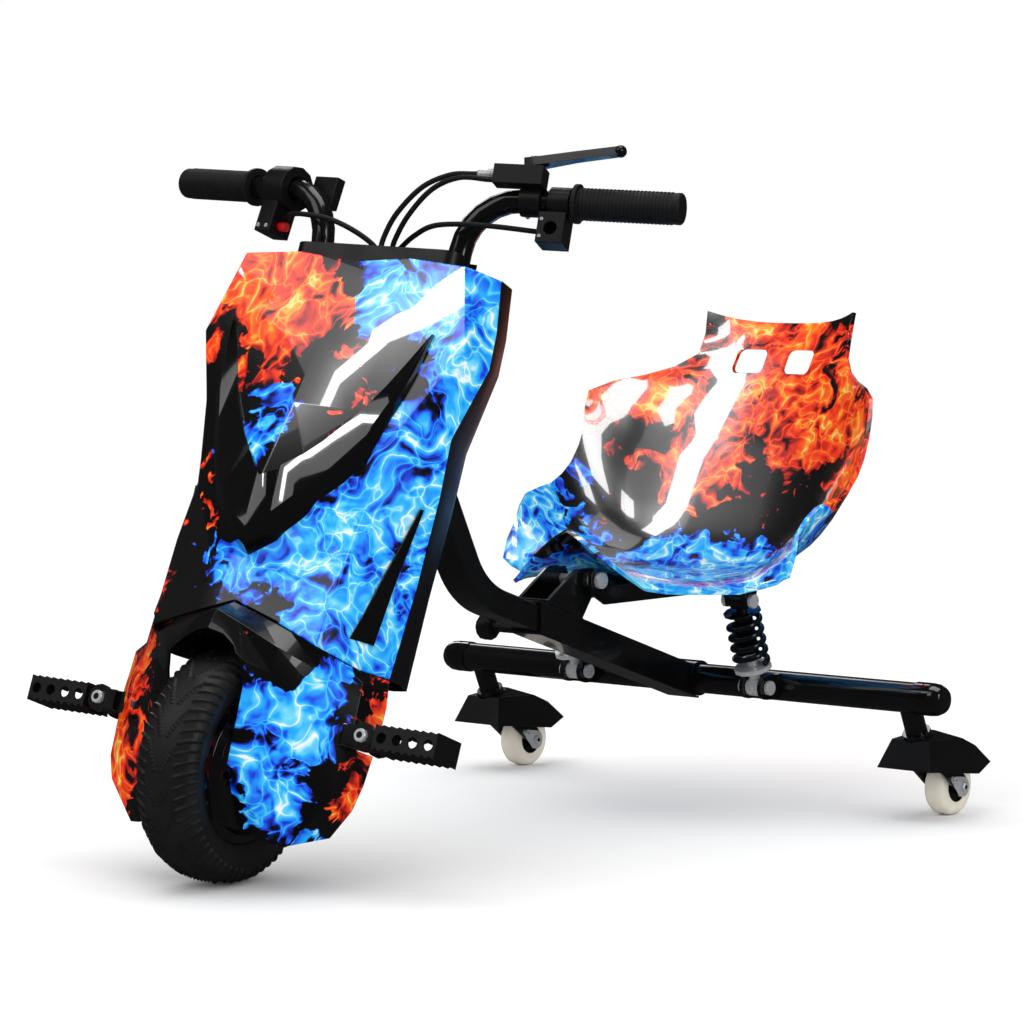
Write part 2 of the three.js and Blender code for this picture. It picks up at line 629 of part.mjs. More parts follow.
// The gooseneck is a flat outline along its bent centre line, as wide as the tube.
function gooseneck() {
  const head = point(0, 0, (HEAD_LOW_Z + HEAD_HIGH_Z) / 2).applyMatrix4(axisToWorld);
  const corners = [
    point(0, GOOSENECK_END_Y, beamAt(GOOSENECK_END_Y)),
    point(0, GOOSENECK_KNEE_Y, beamAt(GOOSENECK_KNEE_Y)),
    point(0, head.y + GOOSENECK_SHOULDER_REACH, head.z - GOOSENECK_SHOULDER_DROP),
    head,
  ];
  const run = roundedRun(corners, [GOOSENECK_LOW_BEND, GOOSENECK_HIGH_BEND], 8);
  const top = [];
  const foot = [];
  run.forEach((p, k) => {
    const ahead = new Stations(run).getTangentAt(k / (run.length - 1));
    const out = point(0, ahead.z, -ahead.y).multiplyScalar(GOOSENECK_HEIGHT / 2);
    top.push([p.y + out.y, p.z + out.z]);
    foot.unshift([p.y - out.y, p.z - out.z]);
  });
  const outline = [...top, ...foot];
  const area = outline.reduce((sum, [y, z], k) => {
    const [y1, z1] = outline[(k + 1) % outline.length];
    return sum + y * z1 - y1 * z;
  }, 0);
  const tool = rod(HEAD_RADIUS + GAP, point(0, 0, HEAD_LOW_Z), point(0, 0, HEAD_HIGH_Z), FINE);
  const body = sideSheet(area > 0 ? outline : outline.reverse(), 0, GOOSENECK_WIDTH);
  return mesh('gooseneck', cut(body, tool.applyMatrix4(axisToWorld)), 'blackPaint');
}

// Rear frame
function rearBeam() {
  const end = AXLE_Y;
  const bar = (half, from, to) => {
    const lift = half / Math.cos(beamSlope);
    const low = [[from, beamAt(from) - lift], [to, beamAt(to) - lift]];
    return [...low, [to, beamAt(to) + lift], [from, beamAt(from) + lift]];
  };
  const outer = sideSheet(bar(BEAM_HEIGHT / 2, BEAM_MOUTH_Y, end), 0, BEAM_WIDTH);
  const bore = bar(GOOSENECK_HEIGHT / 2 + GAP, BEAM_MOUTH_Y - OVERRUN, end + OVERRUN);
  const inner = sideSheet(bore, 0, GOOSENECK_WIDTH + 2 * GAP);
  const collar = COLLAR_RADIUS + GAP;
  const seat = rod(collar, point(-BEAM_WIDTH, AXLE_Y, AXLE_Z), point(BEAM_WIDTH, AXLE_Y, AXLE_Z), FINE);
  const behind = block(point(-BIG, AXLE_Y, 0), point(BIG, AXLE_Y + BIG, BIG));
  return mesh('rear_beam', cut(outer, inner, seat, behind), 'blackPaint');
}

function rearAxle() {
  const at = (x) => point(x, AXLE_Y, AXLE_Z);
  const pieces = [
    rod(AXLE_RADIUS, at(-AXLE_HALF), at(AXLE_HALF), FINE),
    rod(COLLAR_RADIUS, at(-COLLAR_HALF), at(COLLAR_HALF), FINE),
  ];
  for (const [, side] of sides) {
    for (const x of lugPlaces(side)) {
      const arm = block(
        point(x - LUG_THICKNESS / 2, SHOCK_LOW_Y, SHOCK_LOW_Z - LUG_RADIUS),
        point(x + LUG_THICKNESS / 2, AXLE_Y, SHOCK_LOW_Z + LUG_RADIUS),
      );
      const eye = rod(
        LUG_RADIUS,
        point(x - LUG_THICKNESS / 2, SHOCK_LOW_Y, SHOCK_LOW_Z),
        point(x + LUG_THICKNESS / 2, SHOCK_LOW_Y, SHOCK_LOW_Z),
      );
      pieces.push(arm, eye);
    }
    const top = casterAt(side, 0, 0, 0);
    const low = casterAt(side, 0, 0, -STEM_LENGTH);
    pieces.push(rod(STEM_RADIUS, along(at(side * CASTER_X), top, 0.5), low));
    pieces.push(rod(STEM_FLANGE_RADIUS, casterAt(side, 0, 0, -STEM_LENGTH + STEM_FLANGE_LENGTH), low));
  }
  const bolt = clear(SHOCK_BOLT_RADIUS);
  const hole = rod(bolt, point(-BIG, SHOCK_LOW_Y, SHOCK_LOW_Z), point(BIG, SHOCK_LOW_Y, SHOCK_LOW_Z));
  return mesh('rear_axle', cut(join(...pieces), hole), 'blackPaint');
}

function lugPlaces(side) {
  const out = EYE_HALF_WIDTH + RUNNING_GAP + LUG_THICKNESS / 2;
  return [side * SHOCK_X - out, side * SHOCK_X + out];
}

function axleCap([name, side]) {
  const ring = CAP_RING_RADIUS;
  const profile = [[0, GAP], [ring, GAP], [ring, CAP_RING_LENGTH]];
  const steps = 5;
  for (let k = 1; k < steps; k++) {
    const angle = Math.PI / 2 * k / steps;
    profile.push([ring * Math.cos(angle), CAP_RING_LENGTH + CAP_DOME_LENGTH * Math.sin(angle)]);
  }
  profile.push([0, CAP_RING_LENGTH + CAP_DOME_LENGTH]);
  const cap = turnedAcross(profile, FINE).translate(AXLE_HALF, AXLE_Y, AXLE_Z);
  if (side < 0) cap.rotateZ(Math.PI).translate(0, 2 * AXLE_Y, 0);
  return mesh(`axle_cap_${name}`, cap, 'blackPlastic');
}

function seatBracket() {
  const lift = GAP / Math.cos(beamSlope);
  const on = (y, more = 0) => [y, beamTopAt(y) + lift + more];
  const sheet = BRACKET_SHEET;
  const foot = [on(BRACKET_FRONT_Y), on(BRACKET_REAR_Y), on(BRACKET_REAR_Y, sheet), on(BRACKET_FRONT_Y, sheet)];
  const front = HINGE_Y - 2 * EAR_RADIUS;
  const cheek = [on(BRACKET_FRONT_Y), on(BRACKET_REAR_Y), [HINGE_Y + EAR_RADIUS / 2, HINGE_Z - EAR_RADIUS],
    [HINGE_Y + EAR_RADIUS, HINGE_Z], [HINGE_Y + EAR_RADIUS / 2, HINGE_Z + EAR_RADIUS],
    [front, HINGE_Z + EAR_RADIUS]];
  const hole = [[HINGE_Y, HINGE_Z, clear(HINGE_BOLT_RADIUS)]];
  const pieces = [sideSheet(foot, 0, 2 * BRACKET_HALF_WIDTH)];
  for (const [, side] of sides) {
    pieces.push(sideSheet(cheek, side * (BRACKET_HALF_WIDTH - sheet / 2), sheet, hole));
  }
  return mesh('seat_bracket', join(...pieces), 'blackPaint');
}

// The hinge bolt has a spacer on each side, between the bracket and the carrier's ears.
function hingeBolt() {
  const spacer = BRACKET_HALF_WIDTH + GAP;
  const ear = EAR_INNER_X - RUNNING_GAP;
  const head = EAR_INNER_X + BRACKET_SHEET + RUNNING_GAP;
  const half = [[HINGE_BOLT_RADIUS, spacer], [HINGE_HEAD_RADIUS, spacer], [HINGE_HEAD_RADIUS, ear],
    [HINGE_BOLT_RADIUS, ear], [HINGE_BOLT_RADIUS, head], [HINGE_HEAD_RADIUS, head],
    [HINGE_HEAD_RADIUS, head + HINGE_HEAD_LENGTH], [0, head + HINGE_HEAD_LENGTH]];
  const other = half.map(([radius, x]) => [radius, -x]).reverse();
  return mesh('seat_hinge_bolt', turnedAcross([...other, ...half]).translate(0, HINGE_Y, HINGE_Z), 'chrome');
}

function shockBolt(name, side, y, z) {
  const reach = EYE_HALF_WIDTH + 2 * RUNNING_GAP + LUG_THICKNESS;
  const head = reach + SHOCK_HEAD_LENGTH;
  const profile = [[0, -head], [SHOCK_HEAD_RADIUS, -head], [SHOCK_HEAD_RADIUS, -reach],
    [SHOCK_BOLT_RADIUS, -reach], [SHOCK_BOLT_RADIUS, reach], [SHOCK_HEAD_RADIUS, reach],
    [SHOCK_HEAD_RADIUS, head], [0, head]];
  return mesh(name, turnedAcross(profile).translate(side * SHOCK_X, y, z), 'chrome');
}

function lockKnob() {
  const rim = KNOB_RADIUS;
  const start = KNOB_STEM_LENGTH;
  const end = start + KNOB_LENGTH;
  const step = KNOB_CHAMFER;
  const profile = [[0, 0], [KNOB_STEM_RADIUS, 0], [KNOB_STEM_RADIUS, start], [rim - step, start],
    [rim, start + step], [rim, end - step], [rim - step, end], [0, end]];
  const x = BEAM_WIDTH / 2 + GAP;
  const knob = turnedAcross(profile).rotateZ(Math.PI);
  return mesh('lock_knob', knob.translate(-x, KNOB_Y, beamAt(KNOB_Y) - KNOB_DROP), 'blackPlastic');
}

// Seat: a shell of smooth rows between the centre line and the rim
function seatGrid() {
  const half = SEAT_COLUMNS;
  const reach = ([y, z]) => [seatFrontY + y * SEAT_LENGTH, SEAT_FLOOR_Z + z * SEAT_HEIGHT];
  return seatRowShares.map(({ centre, edge, bow, lift }) => {
    const [y0, z0] = reach(centre);
    const [y1, z1] = reach([edge[1], edge[2]]);
    const row = [];
    for (let k = 0; k <= half; k++) {
      const share = Math.sin(Math.PI / 2 * k / half);
      const y = y0 + (y1 - y0) * share ** bow;
      const z = z0 + (z1 - z0) * share ** lift;
      row.push(point(edge[0] * SEAT_HALF_WIDTH * share, y, z));
    }
    return wholeRow(row);
  });
}

// Adds rows between the given ones, on smooth curves through them.
function refined(grid, parts) {
  const columns = grid[0].map((_, c) => new THREE.CatmullRomCurve3(grid.map((row) => row[c])));
  const last = (grid.length - 1) * parts;
  const rows = [];
  for (let r = 0; r <= last; r++) rows.push(columns.map((curve) => curve.getPoint(r / last)));
  return rows;
}

function seatShell() {
  const shell = plate(refined(seatGrid(), 2), SEAT_WALL);
  const tools = sides.map(([, side]) => {
    const xs = [side * SLOT_INNER_X, side * SLOT_OUTER_X].sort((a, b) => a - b);
    const low = SEAT_FLOOR_Z + SEAT_HEIGHT - SLOT_DROP;
    const outline = roundRectangle(xs[0], low, xs[1], low + SLOT_HEIGHT, SLOT_HEIGHT / 4);
    return frontSheet(outline, seatFrontY + SEAT_LENGTH, SEAT_LENGTH / 2);
  });
  return mesh('seat_shell', cut(shell, ...tools), 'seatFilm');
}

// The carrier is a shallow channel under the shell, with ears at the front and a cross plate for the shocks.
function seatCarrier() {
  const top = carrierTopZ;
  const low = top - CARRIER_DEPTH;
  const sheet = BRACKET_SHEET;
  const ear = EAR_INNER_X + sheet / 2;
  const hole = [[HINGE_Y, HINGE_Z, clear(HINGE_BOLT_RADIUS)]];
  const cheek = [[HINGE_Y - EAR_RADIUS, HINGE_Z - EAR_RADIUS], [HINGE_Y + EAR_RADIUS, low],
    [CARRIER_REAR_Y - CARRIER_DEPTH, low], [CARRIER_REAR_Y, top], [HINGE_Y + 2 * EAR_RADIUS, top],
    [HINGE_Y + EAR_RADIUS, HINGE_Z + EAR_RADIUS / 2], [HINGE_Y + EAR_RADIUS / 2, HINGE_Z + EAR_RADIUS],
    [HINGE_Y - EAR_RADIUS / 2, HINGE_Z + EAR_RADIUS], [HINGE_Y - EAR_RADIUS, HINGE_Z + EAR_RADIUS / 2]];
  const pieces = [block(
    point(-EAR_INNER_X - sheet / 2, HINGE_Y + 2 * EAR_RADIUS, top - sheet),
    point(EAR_INNER_X + sheet / 2, CARRIER_REAR_Y - sheet, top),
  )];
  const upper = shockUpper();
  pieces.push(block(
    point(-CROSS_HALF_LENGTH, upper.y - CROSS_HALF_WIDTH, top - sheet),
    point(CROSS_HALF_LENGTH, upper.y + CROSS_HALF_WIDTH, top),
  ));
  for (const [, side] of sides) {
    pieces.push(sideSheet(cheek, side * ear, sheet, hole));
    for (const x of lugPlaces(side)) {
      const tip = LUG_RADIUS / 2;
      const hang = [[upper.y - LUG_RADIUS, top - sheet / 2], [upper.y - tip, upper.z - tip],
        [upper.y + tip, upper.z - tip], [upper.y + LUG_RADIUS, top - sheet / 2]];
      pieces.push(sideSheet(hang, x, LUG_THICKNESS, [[upper.y, upper.z, clear(SHOCK_BOLT_RADIUS)]]));
    }
  }
  const grid = refined(seatGrid(), 2);
  const shell = between(grid, offsetGrid(grid, -SEAT_WALL - GAP));
  return mesh('seat_carrier', cut(join(...pieces), shell), 'blackPaint');
}

// Shock absorbers, built upright about their lower eye
function shockUpper() {
  const y = SHOCK_LOW_Y - SHOCK_LENGTH * Math.sin(shockLean);
  return point(0, y, SHOCK_LOW_Z + SHOCK_LENGTH * Math.cos(shockLean));
}

const eyeAt = (s) => rod(EYE_RADIUS, point(-EYE_HALF_WIDTH, 0, s), point(EYE_HALF_WIDTH, 0, s));
const eyeBore = (s) => rod(
  clear(SHOCK_BOLT_RADIUS),
  point(-EYE_HALF_WIDTH - OVERRUN, 0, s),
  point(EYE_HALF_WIDTH + OVERRUN, 0, s),
);

function shockRod(name) {
  const seat = SPRING_LOW_S - SPRING_SEAT_THICKNESS;
  const profile = [[0, 0], [ROD_RADIUS, 0], [ROD_RADIUS, seat], [SPRING_SEAT_RADIUS, seat],
    [SPRING_SEAT_RADIUS, SPRING_LOW_S], [ROD_RADIUS, SPRING_LOW_S], [ROD_RADIUS, ROD_LENGTH], [0, ROD_LENGTH]];
  return mesh(name, cut(join(turned(profile), eyeAt(0)), eyeBore(0)), 'chrome');
}

function shockBody(name) {
  const bore = ROD_RADIUS + RUNNING_GAP;
  const high = SPRING_HIGH_S;
  const cap = high + SPRING_SEAT_THICKNESS / 2;
  const profile = [[bore, BODY_LOW_S], [BODY_RADIUS, BODY_LOW_S], [BODY_RADIUS, high],
    [SPRING_SEAT_RADIUS, high], [SPRING_SEAT_RADIUS, cap], [ROD_RADIUS, cap], [ROD_RADIUS, SHOCK_LENGTH],
    [0, SHOCK_LENGTH], [0, high - OVERRUN / 2],
    [bore, high - OVERRUN / 2], [bore, BODY_LOW_S]];
  return mesh(name, cut(join(turned(profile), eyeAt(SHOCK_LENGTH)), eyeBore(SHOCK_LENGTH)), 'chrome');
}

// The spring is one wire: a straight leg off each seat, a short bend and the turns between them.
function springPath() {
  const leg = 2 * SPRING_WIRE_RADIUS;
  const bend = SPRING_WIRE_RADIUS * SPRING_BEND_SHARE;
  const low = SPRING_LOW_S + GAP;
  const high = SPRING_HIGH_S - GAP;
  const start = low + leg + bend;
  const rise = high - start - leg - bend;
  const steps = 8 * SPRING_TURNS;
  const lead = bend / SPRING_RADIUS;
  const at = (angle, s) => point(SPRING_RADIUS * Math.cos(angle), SPRING_RADIUS * Math.sin(angle), s);
  const full = 2 * Math.PI * SPRING_TURNS;
  const path = [at(-lead, low), at(-lead, low + leg)];
  const corner = SPRING_CORNER_SHARE;
  path.push(at(-lead * corner, low + leg + bend * corner));
  for (let k = 0; k <= steps; k++) path.push(at(full * k / steps, start + rise * k / steps));
  path.push(at(full + lead * corner, high - leg - bend * corner));
  path.push(at(full + lead, high - leg), at(full + lead, high));
  return path;
}

function springGap(path) {
  let least = Infinity;
  const points = [];
  for (let k = 0; k < path.length - 1; k++) {
    for (let j = 0; j < 4; j++) points.push(along(path[k], path[k + 1], j / 4));
  }
  const apart = 8 * 4 / 2;
  for (let a = 0; a < points.length; a++) {
    for (let b = a + apart; b < points.length; b++) least = Math.min(least, points[a].distanceTo(points[b]));
  }
  return least - 2 * SPRING_WIRE_RADIUS;
}

function spring(name) {
  return mesh(name, tube(springPath(), SPRING_WIRE_RADIUS, 5), 'blackPaint');
}

// Casters: s runs along the leaning stem, which is the swivel axis
function casterAt(side, x, out, s) {
  const y = CASTER_TOP_Y - s * Math.sin(casterLean) + out * Math.cos(casterLean);
  const z = CASTER_TOP_Z + s * Math.cos(casterLean) + out * Math.sin(casterLean);
  return point(side * CASTER_X + x, y, z);
}

function caster([name, side]) {
  const group = new THREE.Group();
  group.position.set(side * CASTER_X, 0, 0);
  const flange = casterAt(0, 0, 0, -STEM_LENGTH - RUNNING_GAP);
  const under = casterAt(0, 0, 0, -STEM_LENGTH - RUNNING_GAP - STEM_FLANGE_LENGTH);
  const wheel = point(0, CASTER_WHEEL_Y, casterAxleZ);
  const plateX = CASTER_PLATE_INNER_X + CASTER_PLATE / 2;
  const reach = CASTER_WHEEL_RADIUS;
  const crown = under.z - CASTER_CROWN_DROP;
  const neck = point(0, under.y + CASTER_CROWN_DROP * Math.tan(casterLean), crown - CASTER_PLATE);
  const arm = [
    [under.y - STEM_RADIUS, crown],
    [under.y - STEM_RADIUS, crown - 2 * CASTER_PLATE],
    ...casterArmShares.map(([y, z]) => [wheel.y + y * reach, wheel.z + z * reach]),
    [under.y + STEM_RADIUS * 2, crown],
  ];
  const pieces = [
    rod(STEM_FLANGE_RADIUS, under, flange),
    rod(STEM_RADIUS, neck, under),
    block(
      point(-plateX, under.y - STEM_RADIUS, crown - CASTER_PLATE * 2),
      point(plateX, under.y + STEM_RADIUS * 2, crown),
    ),
  ];
  for (const [, way] of sides) pieces.push(sideSheet(arm, way * plateX, CASTER_PLATE));
  const boltHead = plateX + 2 * CASTER_PLATE;
  pieces.push(rod(CASTER_BOLT_RADIUS, point(-boltHead, wheel.y, wheel.z), point(boltHead, wheel.y, wheel.z)));
  group.add(mesh(`caster_fork_${name}`, join(...pieces), 'steel'));
  group.add(casterFender(name, under));
  const half = CASTER_WHEEL_HALF_WIDTH;
  const bore = CASTER_BOLT_RADIUS + RUNNING_GAP;
  const rim = CASTER_HUB_RADIUS;
  const hub = [[bore, -half], [rim, -half], [rim, half], [bore, half], [bore, -half]];
  const tread = CASTER_WHEEL_RADIUS;
  const shoulder = tread * CASTER_SHOULDER_SHARE;
  const flatHalf = half * CASTER_TREAD_SHARE;
  const tyre = [[rim + GAP, -half], [shoulder, -half], [tread, -flatHalf], [tread, flatHalf],
    [shoulder, half], [rim + GAP, half], [rim + GAP, -half]];
  const wheelGroup = new THREE.Group();
  wheelGroup.position.copy(wheel);
  wheelGroup.add(mesh(`caster_hub_${name}`, turnedAcross(hub), 'glossBlack'));
  wheelGroup.add(mesh(`caster_tyre_${name}`, turnedAcross(tyre, FINE).rotateX(halfFlat), 'cream'));
  group.add(wheelGroup);
  return group;
}

// The fender is a faceted hood, open below, over the fork and the top of the wheel. Its corners run from the front.
function casterFender(name, under) {
  const front = under.y - FENDER_FRONT_REACH;
  const length = CASTER_WHEEL_Y + FENDER_REAR_REACH - front;
  const height = under.z + FENDER_RISE - FENDER_FOOT_Z;
  const outer = [];
  const inner = [];
  for (const [, side] of sides) {
    for (const [spread, y, z] of fenderShares) {
      const corner = point(side * spread * FENDER_HALF_WIDTH, front + y * length, FENDER_FOOT_Z + z * height);
      const inward = y < 0.5 ? FENDER_WALL : -FENDER_WALL;
      const inside = corner.clone().add(point(-side * FENDER_WALL, inward, -FENDER_WALL));
      outer.push(corner);
      inner.push(inside);
      if (z < FENDER_OPEN_SHARE) inner.push(inside.clone().setZ(inside.z - height));
    }
  }
  const stem = rod(
    clear(STEM_FLANGE_RADIUS),
    casterAt(0, 0, 0, 0),
    casterAt(0, 0, 0, -STEM_LENGTH - STEM_FLANGE_LENGTH * 4),
  );
  return mesh(`caster_fender_${name}`, cut(hull(outer), hull(inner), stem), 'blackPlastic');
}

// Steering assembly, in the axis frame
function fork() {
  const z = CROWN_Z;
  const top = z + CROWN_THICKNESS;
  const outer = BLADE_INNER_X + BLADE_THICKNESS;
  const pieces = [
    block(point(-outer, CROWN_FRONT_Y, z), point(outer, CROWN_REAR_Y, top)),
    rod(STEERER_RADIUS, point(0, 0, z), point(0, 0, HEAD_HIGH_Z + STEERER_RISE), FINE),
    rod(
      HEAD_CUP_RADIUS,
      point(0, 0, HEAD_LOW_Z - RUNNING_GAP - CROWN_RACE_LENGTH),
      point(0, 0, HEAD_LOW_Z - RUNNING_GAP),
      FINE,
    ),
  ];
  const y = FRONT_WHEEL_TRAIL_Y;
  for (const [, side] of sides) {
    const xs = [side * BLADE_INNER_X, side * outer].sort((a, b) => a - b);
    pieces.push(block(
      point(xs[0], y - BLADE_HALF_DEPTH, frontAxleZ - BLADE_BELOW_AXLE),
      point(xs[1], y + BLADE_HALF_DEPTH, top),
    ));
  }
  const bore = rod(clear(AXLE_BOLT_RADIUS), point(-BIG, y, frontAxleZ), point(BIG, y, frontAxleZ));
  return mesh('fork', cut(join(...pieces), bore), 'blackPaint');
}

function frontAxle() {
  const start = BLADE_INNER_X + BLADE_THICKNESS + GAP;
  const end = start + AXLE_NUT_LENGTH;
  const half = [[AXLE_BOLT_RADIUS, start], [AXLE_NUT_RADIUS, start], [AXLE_NUT_RADIUS, end], [0, end]];
  const other = half.map(([radius, x]) => [radius, -x]).reverse();
  const bolt = turnedAcross([...other, ...half]).translate(0, FRONT_WHEEL_TRAIL_Y, frontAxleZ);
  return mesh('front_axle', bolt, 'steel');
}

function frontWheel() {
  const group = new THREE.Group();
  group.position.set(0, FRONT_WHEEL_TRAIL_Y, frontAxleZ);
  const profile = tyreShares.map(([r, w]) => [r * FRONT_TYRE_RADIUS, w * FRONT_TYRE_HALF_WIDTH]);
  profile[0][0] = RIM_RADIUS + GAP;
  profile[profile.length - 1][0] = RIM_RADIUS + GAP;
  const down = point(0, 0, -1).applyMatrix4(new THREE.Matrix4().makeRotationX(rake));
  down.applyAxisAngle(point(0, 0, 1), -steer);
  const tyre = turnedAcross([...profile, profile[0]], FINE).rotateX(Math.atan2(down.y, -down.z) + halfFlat);
  group.add(mesh('front_tyre', tyre, 'tyre'));
  const bore = AXLE_BOLT_RADIUS + RUNNING_GAP;
  const half = [[bore, HUB_HALF_WIDTH], ...hubShares.map(([r, w]) => [r * RIM_RADIUS, w * HUB_HALF_WIDTH])];
  const low = half.map(([r, w]) => [r, -w]);
  const hub = [...low, ...half.slice().reverse(), low[0]];
  group.add(mesh('hub_motor', turnedAcross(hub, FINE), 'glossBlack'));
  return group;
}

const barRun = BAR_END_HALF - BAR_SHOULDER_HALF;
const barEndY = BAR_SHOULDER_Y + BAR_SWEEP * barRun;
const barEndZ = BAR_SHOULDER_Z + BAR_LIFT * barRun;

function handlebarRun() {
  return roundedRun([
    point(-BAR_END_HALF, barEndY, barEndZ),
    point(-BAR_SHOULDER_HALF, BAR_SHOULDER_Y, BAR_SHOULDER_Z),
    point(-BAR_CROSS_HALF, BAR_CROSS_Y, BAR_CROSS_Z),
    point(BAR_CROSS_HALF, BAR_CROSS_Y, BAR_CROSS_Z),
    point(BAR_SHOULDER_HALF, BAR_SHOULDER_Y, BAR_SHOULDER_Z),
    point(BAR_END_HALF, barEndY, barEndZ),
  ], [BAR_HIGH_BEND, BAR_LOW_BEND, BAR_LOW_BEND, BAR_HIGH_BEND], 6);
}

function topYoke() {
  const low = HEAD_HIGH_Z + RUNNING_GAP;
  const rear = BAR_CROSS_Y + BAR_RADIUS + YOKE_REAR_WALL;
  const top = low + YOKE_THICKNESS;
  const nose = rod(STEERER_RADIUS + YOKE_FRONT_WALL, point(0, 0, low), point(0, 0, top), FINE);
  const arm = block(point(-YOKE_HALF_WIDTH, STEERER_RADIUS / 2, low), point(YOKE_HALF_WIDTH, rear, top));
  const saddle = block(
    point(-YOKE_HALF_WIDTH, BAR_CROSS_Y - BAR_RADIUS - YOKE_REAR_WALL, low),
    point(YOKE_HALF_WIDTH, rear, BAR_CROSS_Z + BAR_RADIUS / 2),
  );
  const bore = rod(STEERER_RADIUS + GAP, point(0, 0, low - OVERRUN), point(0, 0, low + BIG), FINE);
  const bar = rod(clear(BAR_RADIUS), point(-BIG, BAR_CROSS_Y, BAR_CROSS_Z), point(BIG, BAR_CROSS_Y, BAR_CROSS_Z));
  return mesh('top_yoke', cut(join(nose, arm, saddle), bore, bar), 'blackPaint');
}

// The straight outer run of the bar, as a frame whose X runs outwards along it
function barPoint(side, x) {
  const share = (x - BAR_SHOULDER_HALF) / barRun;
  const inner = point(side * BAR_SHOULDER_HALF, BAR_SHOULDER_Y, BAR_SHOULDER_Z);
  return along(inner, point(side * BAR_END_HALF, barEndY, barEndZ), share);
}

function barTurn(side) {
  const out = barPoint(side, BAR_END_HALF).sub(barPoint(side, BAR_SHOULDER_HALF)).normalize();
  return new THREE.Quaternion().setFromUnitVectors(point(side, 0, 0), out);
}

function onBar(side, x, geometry) {
  const place = barPoint(side, x);
  return geometry.applyQuaternion(barTurn(side)).translate(place.x, place.y, place.z);
}

function ring(inner, outer, length) {
  const half = length / 2;
  const profile = [[inner, -half], [outer, -half], [outer, half], [inner, half], [inner, -half]];
  return turnedAcross(profile);
}

function grip([name, side]) {
  const length = GRIP_OUTER_X - GRIP_INNER_X;
  const bore = clear(BAR_RADIUS);
  const flange = GRIP_FLANGE_LENGTH;
  const body = GRIP_RADIUS;
  const wide = GRIP_FLANGE_RADIUS;
  const end = length + 2 * GAP;
  const step = flange / 2;
  const profile = [[bore, 0], [wide, 0], [wide, flange], [body, flange + step], [body, length - flange],
    [body + step, length - step], [body + step, end], [0, end], [0, length - GAP], [bore, length - GAP],
    [bore, 0]];
  const sleeve = turnedAcross(profile, FINE / 2);
  if (side < 0) sleeve.rotateZ(Math.PI);
  return mesh(`grip_${name}`, onBar(side, GRIP_INNER_X, sleeve), 'rubber');
}

function throttle() {
  const box = block(
    point(-THROTTLE_LENGTH / 2, -THROTTLE_BOX_HALF, -THROTTLE_BOX_DROP),
    point(THROTTLE_LENGTH / 4, THROTTLE_BOX_HALF, -BAR_RADIUS - CLAMP_WALL / 2),
  );
  const face = THROTTLE_LENGTH / 4;
  const pocket = rod(clear(BUTTON_RADIUS), buttonAt(face - BUTTON_POCKET), buttonAt(face + OVERRUN));
  const housing = cut(join(ring(clear(BAR_RADIUS), THROTTLE_RADIUS, THROTTLE_LENGTH), box), pocket);
  return mesh('throttle_housing', onBar(-1, THROTTLE_X, housing), 'blackPlastic');
}

// The button slides in a pocket of the housing, whose floor stops it.
const buttonAt = (x) => point(x, 0, -THROTTLE_BOX_DROP + 2 * BUTTON_RADIUS);

function pushButton() {
  const face = THROTTLE_LENGTH / 4;
  const root = face - BUTTON_POCKET + BUTTON_TRAVEL + RUNNING_GAP;
  const knob = rod(BUTTON_RADIUS, buttonAt(root), buttonAt(face + BUTTON_LENGTH));
  return mesh('push_button', onBar(-1, THROTTLE_X, knob), 'blackPlastic');
}

function displayBox() {
  const start = THROTTLE_LENGTH / 2 + GAP;
  const front = BAR_RADIUS + DISPLAY_GAP;
  const low = -DISPLAY_HEIGHT * DISPLAY_LOW_SHARE;
  const box = block(
    point(start, front, low),
    point(start + 2 * DISPLAY_HALF_WIDTH, front + DISPLAY_THICKNESS, low + DISPLAY_HEIGHT),
  );
  return mesh('display', onBar(-1, THROTTLE_X, box), 'blackPlastic');
}

// The perch and the lever lie in front of and above the bar. Here X runs outwards along the bar.
const perchFloor = BAR_RADIUS + CLAMP_WALL / 2;
const leverTilt = Math.atan2(LEVER_TIP_RISE, LEVER_REACH);

function brakePerch() {
  const wall = BAR_RADIUS + CLAMP_WALL;
  const body = block(
    point(-PERCH_INNER_REACH, -PERCH_DEPTH, perchFloor - CLAMP_WALL),
    point(PERCH_OUTER_REACH, -CLAMP_WALL, perchFloor + PERCH_HEIGHT),
  );
  const top = perchFloor + PERCH_HEIGHT;
  const pin = rod(LEVER_PIN_RADIUS, point(0, 0, -PERCH_HEIGHT / 2), point(0, 0, LEVER_THICKNESS + LEVER_PIN_RADIUS));
  pin.rotateY(-leverTilt).translate(0, -PERCH_DEPTH / 2, top);
  const barrel = point(-PERCH_INNER_REACH, -PERCH_DEPTH / 2, perchFloor + PERCH_HEIGHT / 2);
  const adjuster = rod(ADJUSTER_RADIUS, barrel.clone().setX(-PERCH_INNER_REACH - ADJUSTER_LENGTH), barrel.setX(0));
  const bar = rod(clear(BAR_RADIUS), point(-BIG, 0, 0), point(BIG, 0, 0));
  const piece = cut(join(ring(clear(BAR_RADIUS), wall, CLAMP_LENGTH), body, pin, adjuster), bar);
  return mesh('brake_perch', onBar(1, PERCH_X, piece), 'blackPaint');
}

